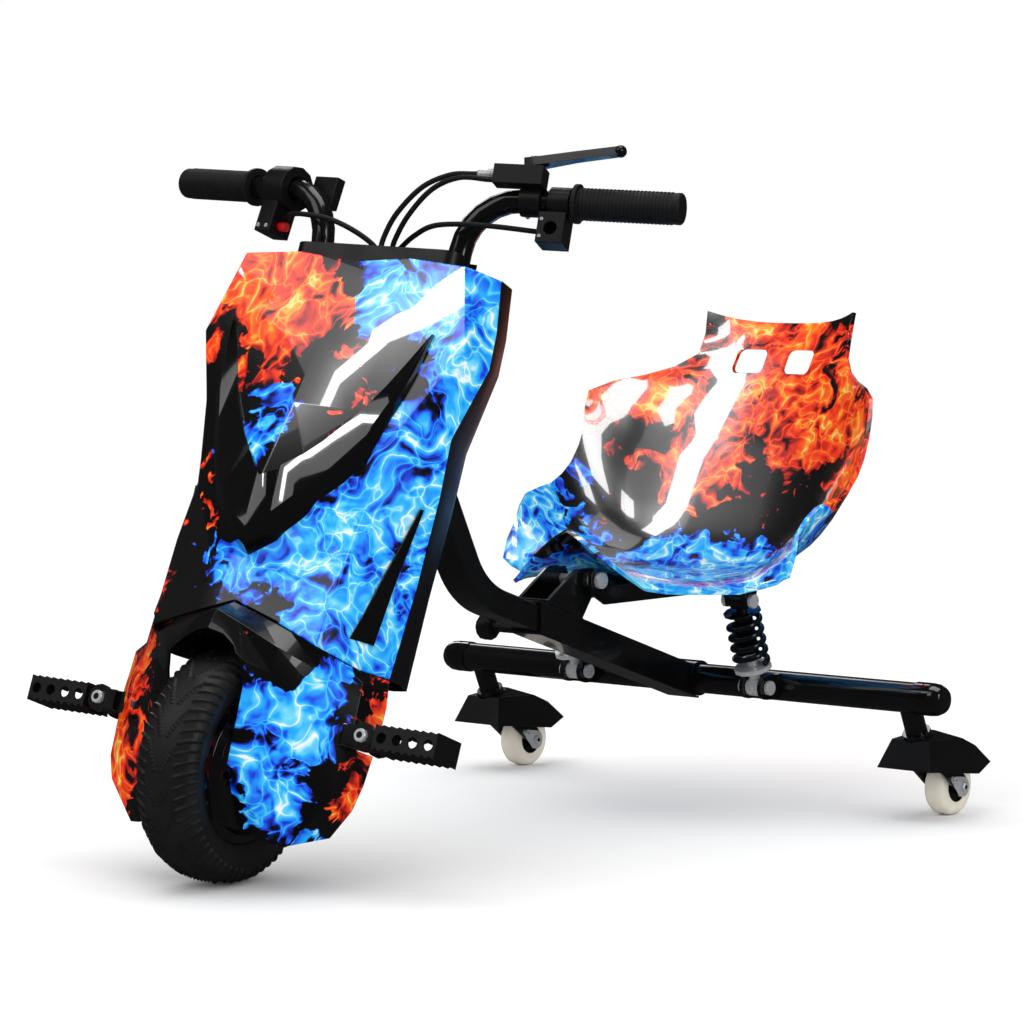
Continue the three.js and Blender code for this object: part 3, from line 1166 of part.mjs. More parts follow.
// The lever swings on the perch's pin, in front of the grip.
function brakeLever() {
  const half = LEVER_THICKNESS / 2;
  const root = LEVER_PIN_RADIUS * 2;
  const outline = [[-root, -root], [root, -root], [LEVER_REACH / 2, -root * LEVER_BELLY_SHARE],
    [LEVER_REACH, -root - half], [LEVER_REACH, -root + half], [LEVER_REACH / 2, 0], [root, root], [-root, root]];
  const blade = levelSheet(outline, half, LEVER_THICKNESS, [[0, 0, clear(LEVER_PIN_RADIUS)]]);
  const ball = new THREE.SphereGeometry(LEVER_BALL_RADIUS, ROUND, ROUND / 2).translate(LEVER_REACH, -root, half);
  const lever = join(blade, ball).translate(0, 0, LEVER_LIFT).rotateY(-leverTilt);
  lever.translate(0, -PERCH_DEPTH / 2, perchFloor + PERCH_HEIGHT);
  return mesh('brake_lever', onBar(1, PERCH_X, lever), 'blackPaint');
}

function switchBox() {
  const wall = BAR_RADIUS + CLAMP_WALL;
  const half = SWITCH_BOX_HALF;
  const box = block(
    point(-half - SWITCH_BOX_INSET, -half, -wall - SWITCH_BOX_DROP),
    point(half - SWITCH_BOX_INSET, half, -BAR_RADIUS - CLAMP_WALL / 2),
  );
  const middle = point(-SWITCH_BOX_INSET, 0, -wall - SWITCH_BOX_DROP / 2);
  const socket = rod(SOCKET_RADIUS, middle.clone().setY(-half - OVERRUN), middle);
  const piece = cut(join(ring(clear(BAR_RADIUS), wall, CLAMP_LENGTH), box), socket);
  return mesh('switch_box', onBar(1, SWITCH_X, piece), 'blackPlastic');
}

// Front panel, as rows of points from the top down
function panelGrid() {
  const at = ([x, y, z]) => point(x * PANEL_HALF_WIDTH, y * PANEL_DEPTH, PANEL_FOOT_Z + z * PANEL_HEIGHT);
  return panelShares.map((row) => wholeRow(row.map(at)));
}

function frontPanel() {
  return mesh('front_panel', plate(panelGrid(), PANEL_WALL), 'flameFilm');
}

// All that lies behind the panel's face, with a gap in front of it: what rests on the panel is cut by this.
function panelFill() {
  const panel = panelGrid();
  return between(offsetGrid(panel, GAP), shifted(panel, point(0, PANEL_DEPTH, 0)));
}

// The chevron is raised off the panel: a steep outer bevel, a ridge and a slope down to its inner edge.
function chevron() {
  const panel = panelGrid();
  const place = ([x, z]) => [x * PANEL_HALF_WIDTH, PANEL_FOOT_Z + z * PANEL_HEIGHT];
  const on = (x, z, raise) => point(x, depthAt(panel, x, z) - raise, z);
  const stations = chevronOuterShares.map((outer, k) => {
    const [x0, z0] = place(outer);
    const [x1, z1] = place(chevronInnerShares[k]);
    const mix = (share) => [x0 + (x1 - x0) * share, z0 + (z1 - z0) * share];
    const raise = CHEVRON_RAISE * (1 - CHEVRON_TIP_FALL * k / (chevronOuterShares.length - 1));
    return [
      on(x1, z1, -PANEL_WALL),
      on(x1, z1, raise * CHEVRON_INNER_RAISE),
      on(...mix(CHEVRON_RIDGE_SHARE), raise),
      on(...mix(CHEVRON_LIP_SHARE), raise * CHEVRON_LIP_RAISE),
      on(x0, z0, -PANEL_WALL),
    ];
  });
  const mirror = (row) => row.map((p) => point(-p.x, p.y, p.z));
  const columns = [...stations.slice(1).reverse().map(mirror), ...stations];
  const grid = columns[0].map((_, r) => columns.map((column) => column[r]));
  const solid = between(grid, shifted(grid, point(0, PANEL_WALL * 2, 0)));
  return mesh('chevron_trim', cut(solid, panelFill()), 'glossBlack');
}

// A slim wedge along each side of the panel.
function sideTrim([name, side]) {
  const panel = panelGrid();
  const last = panel[0].length - 1;
  const onSide = (share, height) => {
    const z = PANEL_FOOT_Z + height * PANEL_HEIGHT;
    const r = panel.findIndex((row, k) => k > 0 && row[last].z <= z);
    const up = (c) => {
      const [high, low] = [panel[r - 1][c], panel[r][c]];
      return along(low, high, (z - low.z) / (high.z - low.z));
    };
    const [front, middle, rear] = [up(last - 2), up(last - 1), up(last)];
    return share < 0.5 ? along(front, middle, share * 2) : along(middle, rear, share * 2 - 1);
  };
  const steps = 6;
  const rows = [];
  const trimTopEnd = trimTopShares[0] + TRIM_TOP_WIDTH;
  for (let k = 0; k <= steps; k++) {
    const height = trimTopShares[1] + (trimFootShares[0][1] - trimTopShares[1]) * k / steps;
    const spread = k / steps;
    const start = trimTopShares[0] + (trimFootShares[0][0] - trimTopShares[0]) * spread;
    const end = trimTopEnd + (trimFootShares[1][0] - trimTopEnd) * spread;
    rows.push([onSide(start, height), onSide((start + end) / 2, height), onSide(end, height)]);
  }
  const mirrored = rows.map((row) => row.map((p) => point(-p.x, p.y, p.z)).reverse());
  const base = side > 0 ? rows : mirrored;
  const wedge = between(offsetGrid(base, TRIM_RAISE), offsetGrid(base, -PANEL_WALL));
  return mesh(`side_trim_${name}`, cut(wedge, panelFill()), 'glossBlack');
}

// Wheel cover: its top edge follows the panel's foot, and an arch is cut out for the wheel.
function coverGrid() {
  const at = ([x, y, z]) => point(x * COVER_HALF_WIDTH, y * PANEL_DEPTH, COVER_FOOT_Z + z * COVER_HEIGHT);
  const foot = panelGrid().at(-1);
  const middle = (foot.length - 1) / 2;
  const half = foot.slice(middle);
  const seat = (p) => point(p.x, p.y, p.z - 2 * RUNNING_GAP);
  const inward = coverTopShares.map((share, k) => along(half[k], half[k + 1], share));
  const top = [half[0], ...inward, half[3], half[4]].map(seat);
  const rows = coverShares.map((row, k) => {
    const [y, z] = coverCentreShares[k];
    return [at([0, y, z]), ...row.map(at)];
  });
  return [top, ...rows].map(wholeRow);
}

function wheelOpening() {
  const half = OPENING_HALF_WIDTH;
  const bend = OPENING_BEND;
  const top = OPENING_TOP_Z;
  const outline = [[-half, 0], [half, 0]];
  const steps = 8;
  for (let k = 0; k <= steps; k++) {
    const angle = Math.PI * k / steps;
    outline.push([half * Math.cos(angle), top - bend + bend * Math.sin(angle)]);
  }
  return frontSheet(outline, 0, BIG);
}

function wheelCover() {
  const shell = plate(coverGrid(), PANEL_WALL);
  const window = sides.map(([, side]) => {
    const half = PEG_BAR_HALF_HEIGHT + RUNNING_GAP;
    const xs = [side * COVER_HALF_WIDTH / 2, side * COVER_HALF_WIDTH * 2].sort((a, b) => a - b);
    const front = PEG_Y - PEG_TONGUE_HALF_DEPTH - RUNNING_GAP;
    return block(point(xs[0], front, PEG_Z - half), point(xs[1], front + BIG, PEG_Z + half));
  });
  return mesh('wheel_cover', cut(shell, wheelOpening(), ...window), 'flameFilm');
}

// The rear cover closes the body behind the panel, with a window for the gooseneck to swing in.
function rearCoverGrid() {
  const rows = panelGrid().map((row) => {
    const edge = row[row.length - 1];
    const start = edge.y + RUNNING_GAP;
    const at = ([x, y]) => point(x * edge.x, start + y * (REAR_COVER_Y - start), edge.z);
    return wholeRow(rearCoverShares.map(at).reverse());
  });
  return rows.map((row) => row.reverse());
}

function rearCover() {
  const half = DECK_HALF_WIDTH + DECK_WALL;
  const window = block(
    point(-half, PANEL_DEPTH / 4, HEAD_LOW_Z),
    point(half, BIG, PANEL_TOP_Z + PANEL_HEIGHT),
  );
  const back = shifted(panelGrid(), point(0, GAP, 0));
  const skin = between(offsetGrid(back, GAP), offsetGrid(back, -PANEL_WALL - GAP));
  return mesh('rear_cover', cut(plate(rearCoverGrid(), PANEL_WALL), window, skin), 'blackPlastic');
}

// The deck is a shallow lid, open below, notched round the risers.
function deckLid() {
  const half = DECK_HALF_WIDTH;
  const wall = DECK_WALL;
  const height = DECK_HEIGHT;
  const outer = roundRectangle(-half, DECK_FRONT_Y, half, DECK_REAR_Y, DECK_CORNER);
  const inner = roundRectangle(-half + wall, DECK_FRONT_Y + wall, half - wall, DECK_REAR_Y - wall, DECK_CORNER - wall);
  const body = levelSheet(outer, DECK_LOW_Z + height / 2, height);
  const hollow = levelSheet(inner, DECK_LOW_Z + height / 2 - wall, height);
  const holes = [rod(CABLE_HOLE_RADIUS, point(0, CABLE_HOLE_Y, DECK_LOW_Z), point(0, CABLE_HOLE_Y, DECK_TOP_Z + OVERRUN))];
  for (const [, side] of sides) {
    const low = point(side * BAR_CROSS_HALF, BAR_CROSS_Y, BAR_CROSS_Z);
    const high = point(side * BAR_SHOULDER_HALF, BAR_SHOULDER_Y, BAR_SHOULDER_Z);
    const notch = rod(BAR_RADIUS + RUNNING_GAP, low, high);
    const open = notch.clone().translate(side * BAR_RADIUS, 0, 0);
    holes.push(notch, open);
  }
  return mesh('deck_lid', cut(body, hollow, ...holes), 'blackPlastic');
}

// Foot pegs: a clevis on a bar through the cover's side, and a folding peg with teeth and through holes
function pegBracket([name, side]) {
  const at = (x) => side * x;
  const span = (a, b) => [at(a), at(b)].sort((p, q) => p - q);
  const [x0, x1] = span(BLADE_INNER_X + BLADE_THICKNESS + GAP, PEG_PIN_X - PEG_EAR_RADIUS);
  const depth = PEG_TONGUE_HALF_DEPTH;
  const bar = block(
    point(x0, PEG_Y - depth, PEG_Z - PEG_BAR_HALF_HEIGHT),
    point(x1, PEG_Y + depth, PEG_Z + PEG_BAR_HALF_HEIGHT),
  );
  const earOut = depth + RUNNING_GAP + PEG_EAR_THICKNESS;
  const [y0, y1] = span(PEG_PIN_X - PEG_EAR_RADIUS - PEG_EAR_THICKNESS, PEG_PIN_X - PEG_EAR_RADIUS);
  const back = block(
    point(y0, PEG_Y - earOut, PEG_Z - PEG_BAR_HALF_HEIGHT),
    point(y1, PEG_Y + earOut, PEG_Z + PEG_BAR_HALF_HEIGHT),
  );
  const pieces = [bar, back];
  for (const [, way] of sides) {
    const y = PEG_Y + way * (earOut - PEG_EAR_THICKNESS / 2);
    const half = PEG_EAR_THICKNESS / 2;
    pieces.push(rod(PEG_EAR_RADIUS, point(at(PEG_PIN_X), y - half, PEG_Z), point(at(PEG_PIN_X), y + half, PEG_Z)));
    const [e0, e1] = span(PEG_PIN_X - PEG_EAR_RADIUS - half, PEG_PIN_X);
    pieces.push(block(
      point(e0, y - half, PEG_Z - PEG_BAR_HALF_HEIGHT),
      point(e1, y + half, PEG_Z + PEG_BAR_HALF_HEIGHT),
    ));
  }
  const reach = earOut + PEG_EAR_THICKNESS;
  const pin = [point(at(PEG_PIN_X), PEG_Y - reach, PEG_Z), point(at(PEG_PIN_X), PEG_Y + reach, PEG_Z)];
  pieces.push(rod(PEG_PIN_RADIUS, ...pin));
  return mesh(`peg_bracket_${name}`, join(...pieces), 'blackPaint');
}

function peg([name, side]) {
  const start = PEG_PIN_X + PEG_EAR_RADIUS + RUNNING_GAP * 2;
  const pitch = (PEG_TIP_X - start) / PEG_TEETH;
  const top = [];
  const foot = [];
  const low = PEG_Z - PEG_HALF_HEIGHT;
  const high = PEG_Z + PEG_HALF_HEIGHT;
  for (let k = 0; k < PEG_TEETH; k++) {
    const x = start + k * pitch;
    const edge = x + pitch * pedalToothShare;
    top.unshift([edge + pitch / 4, high], [edge, high - PEG_TOOTH], [x + pitch / 4, high - PEG_TOOTH], [x, high]);
    foot.push([x, low], [x + pitch / 4, low + PEG_TOOTH], [edge, low + PEG_TOOTH], [edge + pitch / 4, low]);
  }
  const outline = [...foot, [PEG_TIP_X, low], [PEG_TIP_X, high], ...top];
  const holes = [];
  for (let k = 0; k < PEG_HOLES; k++) {
    holes.push([start + (k + PEG_FIRST_HOLE_SHARE) * (PEG_TIP_X - start) / PEG_HOLES, PEG_Z, PEG_HOLE_RADIUS]);
  }
  const body = frontSheet(outline, PEG_Y, 2 * PEG_HALF_DEPTH, holes);
  const tongueDepth = PEG_TONGUE_HALF_DEPTH;
  const root = PEG_EAR_RADIUS - RUNNING_GAP * 2;
  const tongueHalf = root * PEG_TONGUE_BLOCK_SHARE;
  const pinEnds = [point(PEG_PIN_X, PEG_Y - tongueDepth, PEG_Z), point(PEG_PIN_X, PEG_Y + tongueDepth, PEG_Z)];
  const tongue = join(
    block(
      point(PEG_PIN_X, PEG_Y - tongueDepth, PEG_Z - tongueHalf),
      point(start + PEG_TOOTH, PEG_Y + tongueDepth, PEG_Z + tongueHalf),
    ),
    rod(root * PEG_TONGUE_ROUND_SHARE, ...pinEnds),
  );
  const bore = rod(clear(PEG_PIN_RADIUS), point(PEG_PIN_X, -BIG, PEG_Z), point(PEG_PIN_X, BIG, PEG_Z));
  const solid = cut(join(body, tongue), bore);
  if (side < 0) solid.rotateZ(Math.PI).translate(0, 2 * PEG_Y, 0);
  return mesh(`peg_${name}`, solid, 'blackPlastic');
}

// Cables, each a hand-laid route from its fitting down through the hole in the deck. The first run is straight,
// and heights are above the panel's top.
const cableRoutes = {
  cable_throttle: [[-144.7, 65.7, 55.3], [-138.8, 64.5, 54.8], [-122, 46, 53], [-96, 34, 50], [-60, 32, 45],
    [-28, 40, 34], [-9, 50, 21], [-9, 50, 5]],
  cable_brake: [[94, 42.5, 105.6], [88.2, 41.3, 105.1], [66, 36, 101], [38, 34, 86], [14, 36, 58], [1, 42, 34],
    [-1, 44, 18], [-1, 44, 5]],
  cable_light: [[115.7, 38.7, 99.1], [109.9, 37.5, 98.6], [84, 26, 95], [54, 28, 82], [28, 36, 56],
    [12, 46, 32], [9, 50, 19], [9, 50, 5]],
  cable_power: [[164.4, 69.7, 57.7], [158.5, 68.5, 57.3], [128, 48, 53], [96, 34, 49], [60, 36, 46],
    [32, 48, 38], [12, 59, 28], [2, 62, 19], [2, 62, 5]],
};

function cable([name, route]) {
  const [start, ...rest] = route.map(([x, y, z]) => point(x, y, PANEL_TOP_Z + z));
  const curve = new THREE.CatmullRomCurve3(rest);
  return mesh(name, tube([start, ...curve.getPoints(CABLE_STEPS)], CABLE_RADIUS, CABLE_SIDES), 'rubber');
}

// Assembly
const trike = new THREE.Group();
trike.name = 'drift_trike';

trike.add(rearBeam(), rearAxle(), seatBracket(), hingeBolt(), lockKnob(), gooseneck());
trike.add(seatShell(), seatCarrier());
trike.add(...sides.map(axleCap), ...sides.map(caster));

for (const [name, side] of sides) {
  const upper = shockUpper();
  trike.add(shockBolt(`shock_bolt_low_${name}`, side, SHOCK_LOW_Y, SHOCK_LOW_Z));
  trike.add(shockBolt(`shock_bolt_high_${name}`, side, upper.y, upper.z));
  const shock = new THREE.Group();
  shock.position.set(side * SHOCK_X, SHOCK_LOW_Y, SHOCK_LOW_Z);
  shock.rotation.x = shockLean;
  shock.add(shockRod(`shock_rod_${name}`), shockBody(`shock_body_${name}`), spring(`shock_spring_${name}`));
  trike.add(shock);
}

const axis = new THREE.Group();
axis.position.set(0, STEERING_FOOT_Y, 0);
axis.rotation.x = -rake;
trike.add(axis);

const steering = new THREE.Group();
steering.rotation.z = steer;
steering.add(fork(), frontAxle(), frontWheel(), topYoke());
steering.add(mesh('handlebar', tube(handlebarRun(), BAR_RADIUS), 'blackPaint'));
steering.add(frontPanel(), chevron(), ...sides.map(sideTrim), wheelCover(), rearCover(), deckLid());
steering.add(...sides.map(grip), throttle(), pushButton(), displayBox());
steering.add(brakePerch(), brakeLever(), switchBox());
steering.add(...sides.map(pegBracket), ...sides.map(peg));
steering.add(...Object.entries(cableRoutes).map(cable));
axis.add(steering, headTube());

// The part stands on the floor with its box centred front to back.
trike.updateMatrixWorld(true);
const bounds = new THREE.Box3().setFromObject(trike, true);
trike.position.set(0, -(bounds.min.y + bounds.max.y) / 2, -bounds.min.z);
trike.updateMatrixWorld(true);

console.log(`spring wire: least gap to itself ${springGap(springPath()).toFixed(2)} mm`);

export default trike;
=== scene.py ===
"""Looks of a drift trike on its CAD frame: finer pieces, finishes made by nodes, a stage and the camera."""
import json
import math

import bmesh
import bpy
from mathutils import Matrix, Vector

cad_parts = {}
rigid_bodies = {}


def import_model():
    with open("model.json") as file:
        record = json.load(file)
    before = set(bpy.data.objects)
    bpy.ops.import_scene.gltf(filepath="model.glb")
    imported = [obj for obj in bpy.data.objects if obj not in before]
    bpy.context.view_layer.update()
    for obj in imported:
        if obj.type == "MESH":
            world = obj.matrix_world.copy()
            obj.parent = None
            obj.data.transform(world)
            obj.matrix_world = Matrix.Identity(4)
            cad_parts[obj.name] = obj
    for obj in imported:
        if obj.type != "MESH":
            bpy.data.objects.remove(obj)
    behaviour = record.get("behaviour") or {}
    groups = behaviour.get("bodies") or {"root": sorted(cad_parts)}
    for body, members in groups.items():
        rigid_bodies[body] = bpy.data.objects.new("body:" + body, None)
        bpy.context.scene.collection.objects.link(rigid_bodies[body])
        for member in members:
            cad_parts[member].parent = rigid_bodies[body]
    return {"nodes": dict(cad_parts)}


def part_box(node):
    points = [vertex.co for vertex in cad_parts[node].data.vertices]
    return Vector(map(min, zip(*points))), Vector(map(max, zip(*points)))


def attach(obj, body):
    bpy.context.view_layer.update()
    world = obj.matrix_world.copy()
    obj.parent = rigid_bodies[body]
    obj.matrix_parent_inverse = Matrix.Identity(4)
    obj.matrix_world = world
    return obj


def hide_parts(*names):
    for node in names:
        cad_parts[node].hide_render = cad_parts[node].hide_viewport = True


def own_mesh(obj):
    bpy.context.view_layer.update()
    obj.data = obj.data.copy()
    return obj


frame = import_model()

bl_info = {
    "name": "Drift trike",
    "version": (1, 0, 0),
    "blender": (4, 5, 0),
    "location": "3D View > Sidebar > Trike",
    "description": "Builds the looks of a drift trike on its CAD frame",
    "category": "Object",
}

MM = 0.001

# The steering frame leans back by the rake and is turned by the steering at rest
RAKE = math.radians(20.0)
STEER = math.radians(9.1)
AXIS_Y = 50.0
SHIFT_Y = -501.98
STEERING = (
    Matrix.Translation((0, (AXIS_Y + SHIFT_Y) * MM, 0))
    @ Matrix.Rotation(-RAKE, 4, "X")
    @ Matrix.Rotation(STEER, 4, "Z")
)
# The level frame of the CAD source, before its shift to the middle of the row
GAUGE = Matrix.Translation((0, SHIFT_Y * MM, 0))

# Handlebar places in the steering frame, in millimetres
BAR_SHOULDER = Vector((86, 54, 733))
BAR_END = Vector((302, 97.999, 749.006))

# Cable routes in the steering frame, in millimetres, as in the CAD source
CABLES = {
    "cable_throttle": [
        (-144.7, 65.7, 705.3), (-138.8, 64.5, 704.8), (-122, 46, 703), (-96, 34, 700), (-60, 32, 695),
        (-28, 40, 684), (-9, 50, 671), (-9, 50, 655),
    ],
    "cable_brake": [
        (94, 42.5, 755.6), (88.2, 41.3, 755.1), (66, 36, 751), (38, 34, 736), (14, 36, 708), (1, 42, 684),
        (-1, 44, 668), (-1, 44, 655),
    ],
    "cable_light": [
        (115.7, 38.7, 749.1), (109.9, 37.5, 748.6), (84, 26, 745), (54, 28, 732), (28, 36, 706),
        (12, 46, 682), (9, 50, 669), (9, 50, 655),
    ],
    "cable_power": [
        (164.4, 69.7, 707.7), (158.5, 68.5, 707.3), (128, 48, 703), (96, 34, 699), (60, 36, 696),
        (32, 48, 688), (12, 59, 678), (2, 62, 669), (2, 62, 655),
    ],
}

# Points of a cable between two places of its route
CURVE_STEPS = 8

# Front tyre: half its section as (radius, width from the middle), steps round it, and its tread's grooves:
# how many slots, their pitch, where slots and sweeps start, how wide they are, and how steeply they bend
# inside and outside the shoulder; lengths in millimetres
TYRE_SECTION = [
    (74, 26), (79, 31), (86.5, 34.4), (93, 34.6), (98, 33.6), (102.5, 31), (105.6, 28), (108.4, 23.4),
    (110.4, 18), (111.8, 12.5), (112.5, 7.5), (112.7, 2.5),
]
SIDEWALL_RADIUS = 93
TREAD_RADIUS = 95
TREAD_STEPS = 756
TREAD_GRID = 1.5
TREAD_SLOTS = 63
TREAD_PITCH = 11.2
SLOT_START = 16
SLOT_HALF = 1.1
SWEEP_START = 3
SWEEP_HALF = 1.9
SWEEP_EVERY = 3
SHOULDER = 17
BEND_INSIDE = 2.2
BEND_OUTSIDE = 0.45

# Screws of the hub motor: how many on each side, radius and length, radius of their circle, and its distance
# from the middle
HUB_SCREWS = 6
HUB_SCREW = (4, 4)
HUB_SCREW_CIRCLE = 46
HUB_SCREW_REACH = 37

# Grips along the bar, in millimetres: start on the bar, flange, ribs and end as (radius, height)
GRIP_START = 193.5
GRIP_FLANGE = [(12.4, 0), (20, 0.4), (20, 4.6), (16.2, 5.4)]
GRIP_RADIUS = 15.6
GRIP_RIBS_START = 7
GRIP_RIBS_LENGTH = 98
GRIP_END = [(16, 107), (16, 110), (14.6, 111.6), (0, 111.6)]

# Controls: side and place along the bar, in millimetres
CONTROLS = {"perch": (1, 150), "switch": (1, 180), "housing": (-1, 150)}

# Screws on the controls: whose frame, place, direction, radius, length and steps
CONTROL_SCREWS = [
    ("perch", (0, -13, 40), (0, 0, 1), 5.2, 3, 20),
    ("perch", (-7, 10, -12), (0, 1, 0), 2.6, 2.4, 20),
    ("perch", (7, 10, -12), (0, 1, 0), 2.6, 2.4, 20),
    ("switch", (-14, -14, -22), (0, -1, 0), 1.8, 1.2, 12),
    ("switch", (-14, -14, -40), (0, -1, 0), 1.8, 1.2, 12),
    ("housing", (-10, -15, -46), (0, -1, 0), 2.2, 1.4, 12),
    ("housing", (2, -15, -46), (0, -1, 0), 2.2, 1.4, 12),
]

# Adjuster of the brake cable: its foot in the perch's frame and its profile of (radius, height)
ADJUSTER_FOOT = (-38, -13, 22)
ADJUSTER = [
    (0, 0), (6.2, 0), (6.2, 4.5), (4.9, 4.5), (4.9, 5.5), (6.0, 5.5), (6.0, 9), (4.6, 9), (4.6, 19),
    (3.6, 20.4), (0, 20.4),
]

# Foot pegs in the steering frame, in millimetres
PEG_PIN = Vector((157, -6, 165))
PEG_ROOT = 172.0
PEG_TIP = 242.0
PEG_HALF_DEPTH = 22.0
PEG_HALF_HEIGHT = 13.0
PEG_HOLES = 4
PEG_HOLE_RADIUS = 5.4
PEG_HOLE_STEPS = 16
PEG_TOOTH = 3.0
PEG_WALL = 2.6
PEG_SCREW = (6.5, 5)
PEG_SCREW_REACH = 18.8

# Rounding of the edges of the thick arms and of the tubes, in millimetres
FORGED_EDGE = 2.2
TUBE_EDGE = 1.0

# Caps on the axle's ends as (radius, height), in millimetres
AXLE_CAP = [
    (15.9, 0), (17.9, 0.3), (17.9, 11), (17.2, 11.8), (17.9, 12.6), (17.9, 19), (17.2, 26),
    (14.5, 32), (12.8, 34.2), (11.2, 35), (0, 35.1),
]

# Lamps: name, place, target, direction of the long side, length, width, watts, and whether it lights or is
# only mirrored
LAMPS = [
    ("overhead", (-0.4, -0.6, 2.8), (0, 0, 0.3), (1, 0, 0), 2.6, 2.0, 20, True),
    ("panel_band", (-0.2, -0.85, 1.28), (0.07, -0.28, 0.5), (0.16, 0.58, 0.8), 0.42, 0.085, 1.9, False),
    (
        "panel_streak", (-0.7, -0.78, 1.19), (-0.11, -0.26, 0.57), (-0.04, 0.46, 0.89), 0.06, 0.012, 0.04,
        False,
    ),
    ("seat_streak", (0.937, -1.932, 1.925), (-0.17, 0.39, 0.38), (0, 0.3, 1), 2.07, 0.62, 64, False),
    ("seat_streak_low", (1.22, -0.548, 2.867), (-0.17, 0.39, 0.38), (0, 0.3, 1), 0.45, 0.4, 9, False),
    ("seat_edge", (-1.287, -1.359, 2.474), (-0.08, 0.43, 0.39), (0, 0.3, 1), 1.6, 0.5, 40, False),
    ("seat_edge_high", (-0.258, -1.588, 2.584), (-0.08, 0.43, 0.39), (0, 0.3, 1), 0.53, 0.5, 13, False),
    ("sheen_front", (-2.4, -5.2, 5.6), (0, 0, 0.4), (1, 0, 0), 4.5, 4.0, 70, False),
    ("sheen_top", (0, 0.5, 5.0), (0, 0, 0.3), (1, 0, 0), 3.0, 3.0, 60, False),
    ("sheen_left", (6.0, -1.5, 3.0), (0, 0, 0.3), (0, 1, 0), 1.6, 4.0, 70, False),
    ("sheen_right", (-5.5, 4.2, 4.6), (0, 0, 0.3), (0, 1, 0), 1.2, 5.0, 60, False),
]

# Lamps that only these pieces mirror
MIRRORED = {
    "panel_band": ("fine_front_panel", "fine_chevron_trim"),
    "panel_streak": ("fine_front_panel",),
    "seat_streak": ("fine_seat_shell",),
    "seat_streak_low": ("fine_seat_shell",),
    "seat_edge": ("fine_seat_shell",),
    "seat_edge_high": ("fine_seat_shell",),
}

# Shock absorbers in the gauge frame; lengths in millimetres
SHOCK_X = 127
SHOCK_LOW = Vector((0, 785, 137))
SHOCK_LEAN = math.radians(18)
SPRING_LOW = 26.3
SPRING_HIGH = 87.7
SPRING_TURNS = 4.5
SPRING_RADIUS = 17.5
SPRING_WIRE = 3.4
SPRING_STEPS = 24

# Caster wheel's half section and its hub as (radius, width), and the side plate, in millimetres
CASTER_SECTION = [(17.4, 12), (26, 12), (29, 11), (30.9, 8.8), (31.8, 5.6), (32, 2)]
CASTER_HUB = [
    (4.4, -12), (7.5, -12), (8.5, -9.5), (14.5, -9.5), (15.6, -11.8), (16.9, -11.8),
    (16.9, 11.8), (15.6, 11.8), (14.5, 9.5), (8.5, 9.5), (7.5, 12), (4.4, 12), (4.4, -12),
]
PLATE_FACES = (19.2, 20.6)
PLATE_ROUNDS = [(11, (0, 0)), (3, (-21, 11))]
PLATE_STEPS = 24
# Screws on the side plate: place in it, radius, length and steps
PLATE_SCREWS = [((-19, 10), 4, 3, 20), ((0, 0), 5.5, 3.5, 6)]

# Camera: place in metres, azimuth, elevation and focal length on a 36 mm sensor
CAMERA_PLACE = (2.4072, -2.85792, 0.5991)
CAMERA_AZIMUTH = math.radians(39.95)
CAMERA_ELEVATION = math.radians(3.98)
CAMERA_LENS = 124.6
SENSOR = 36

# Floor's half size in metres, and the world's strength as it is seen, as it lights and as it is mirrored
FLOOR_HALF = 30
WORLD_SEEN = 1.0
WORLD_LIGHT = 1.06
WORLD_MIRRORED = 0.03

# Film: scale and reach in millimetres of the pattern's warp, and the scales per millimetre of the noise that
# tears it, of the noise that mottles it and of the cells whose borders are its threads
WARP_SCALE = 0.016
WARP_REACH = 150
TEAR_SCALE = 0.02
MOTTLE_SCALE = 0.03
CELL_SCALE = 0.036
# Gain and shift of the tearing noise against the blobs
TEAR_GAIN = 3.2
TEAR_SHIFT = -1.9

# Flames as blobs: centre and half sizes in millimetres, in the film's own frame
PANEL_FIRE = [
    ((-95, 0, 605), (85, 200, 80)), ((-60, 0, 565), (85, 200, 75)), ((-120, 0, 640), (90, 200, 45)),
    ((-10, 0, 590), (50, 200, 45)), ((-160, 60, 560), (55, 130, 120)), ((-160, 50, 420), (42, 120, 100)),
    ((-150, 40, 320), (50, 120, 90)), ((-105, 0, 275), (30, 60, 60)),
]
PANEL_ICE = [
    ((70, 0, 615), (85, 200, 60)), ((150, 20, 600), (75, 200, 100)), ((155, 20, 500), (75, 200, 130)),
    ((120, 0, 415), (75, 200, 90)), ((80, 0, 350), (90, 200, 75)), ((5, 0, 305), (95, 200, 48)),
    ((95, 0, 285), (70, 200, 80)), ((-33, -30, 445), (60, 200, 60)), ((115, 0, 235), (60, 200, 60)),
]
COVER_FIRE = [
    ((154, 40, 205), (50, 66, 66)), ((154, 40, 145), (50, 66, 66)), ((-130, -10, 155), (90, 140, 150)),
    ((142, 32, 92), (44, 56, 44)),
]
COVER_ICE = [
    ((60, -20, 178), (34, 200, 34)), ((82, 0, 160), (40, 200, 38)), ((104, -40, 150), (32, 50, 60)),
    ((52, 0, 122), (38, 200, 52)), ((80, -20, 100), (44, 60, 48)), ((82, 0, 72), (40, 60, 36)),
    ((114, -40, 205), (28, 45, 70)),
]
SEAT_FIRE = [
    ((10, 500, 520), (150, 130, 65)), ((-160, 460, 450), (100, 130, 90)), ((10, 480, 430), (170, 130, 90)),
    ((-60, 450, 360), (100, 130, 55)), ((165, 430, 430), (95, 150, 120)), ((90, 450, 345), (55, 120, 60)),
    ((200, 380, 340), (40, 120, 70)),
]
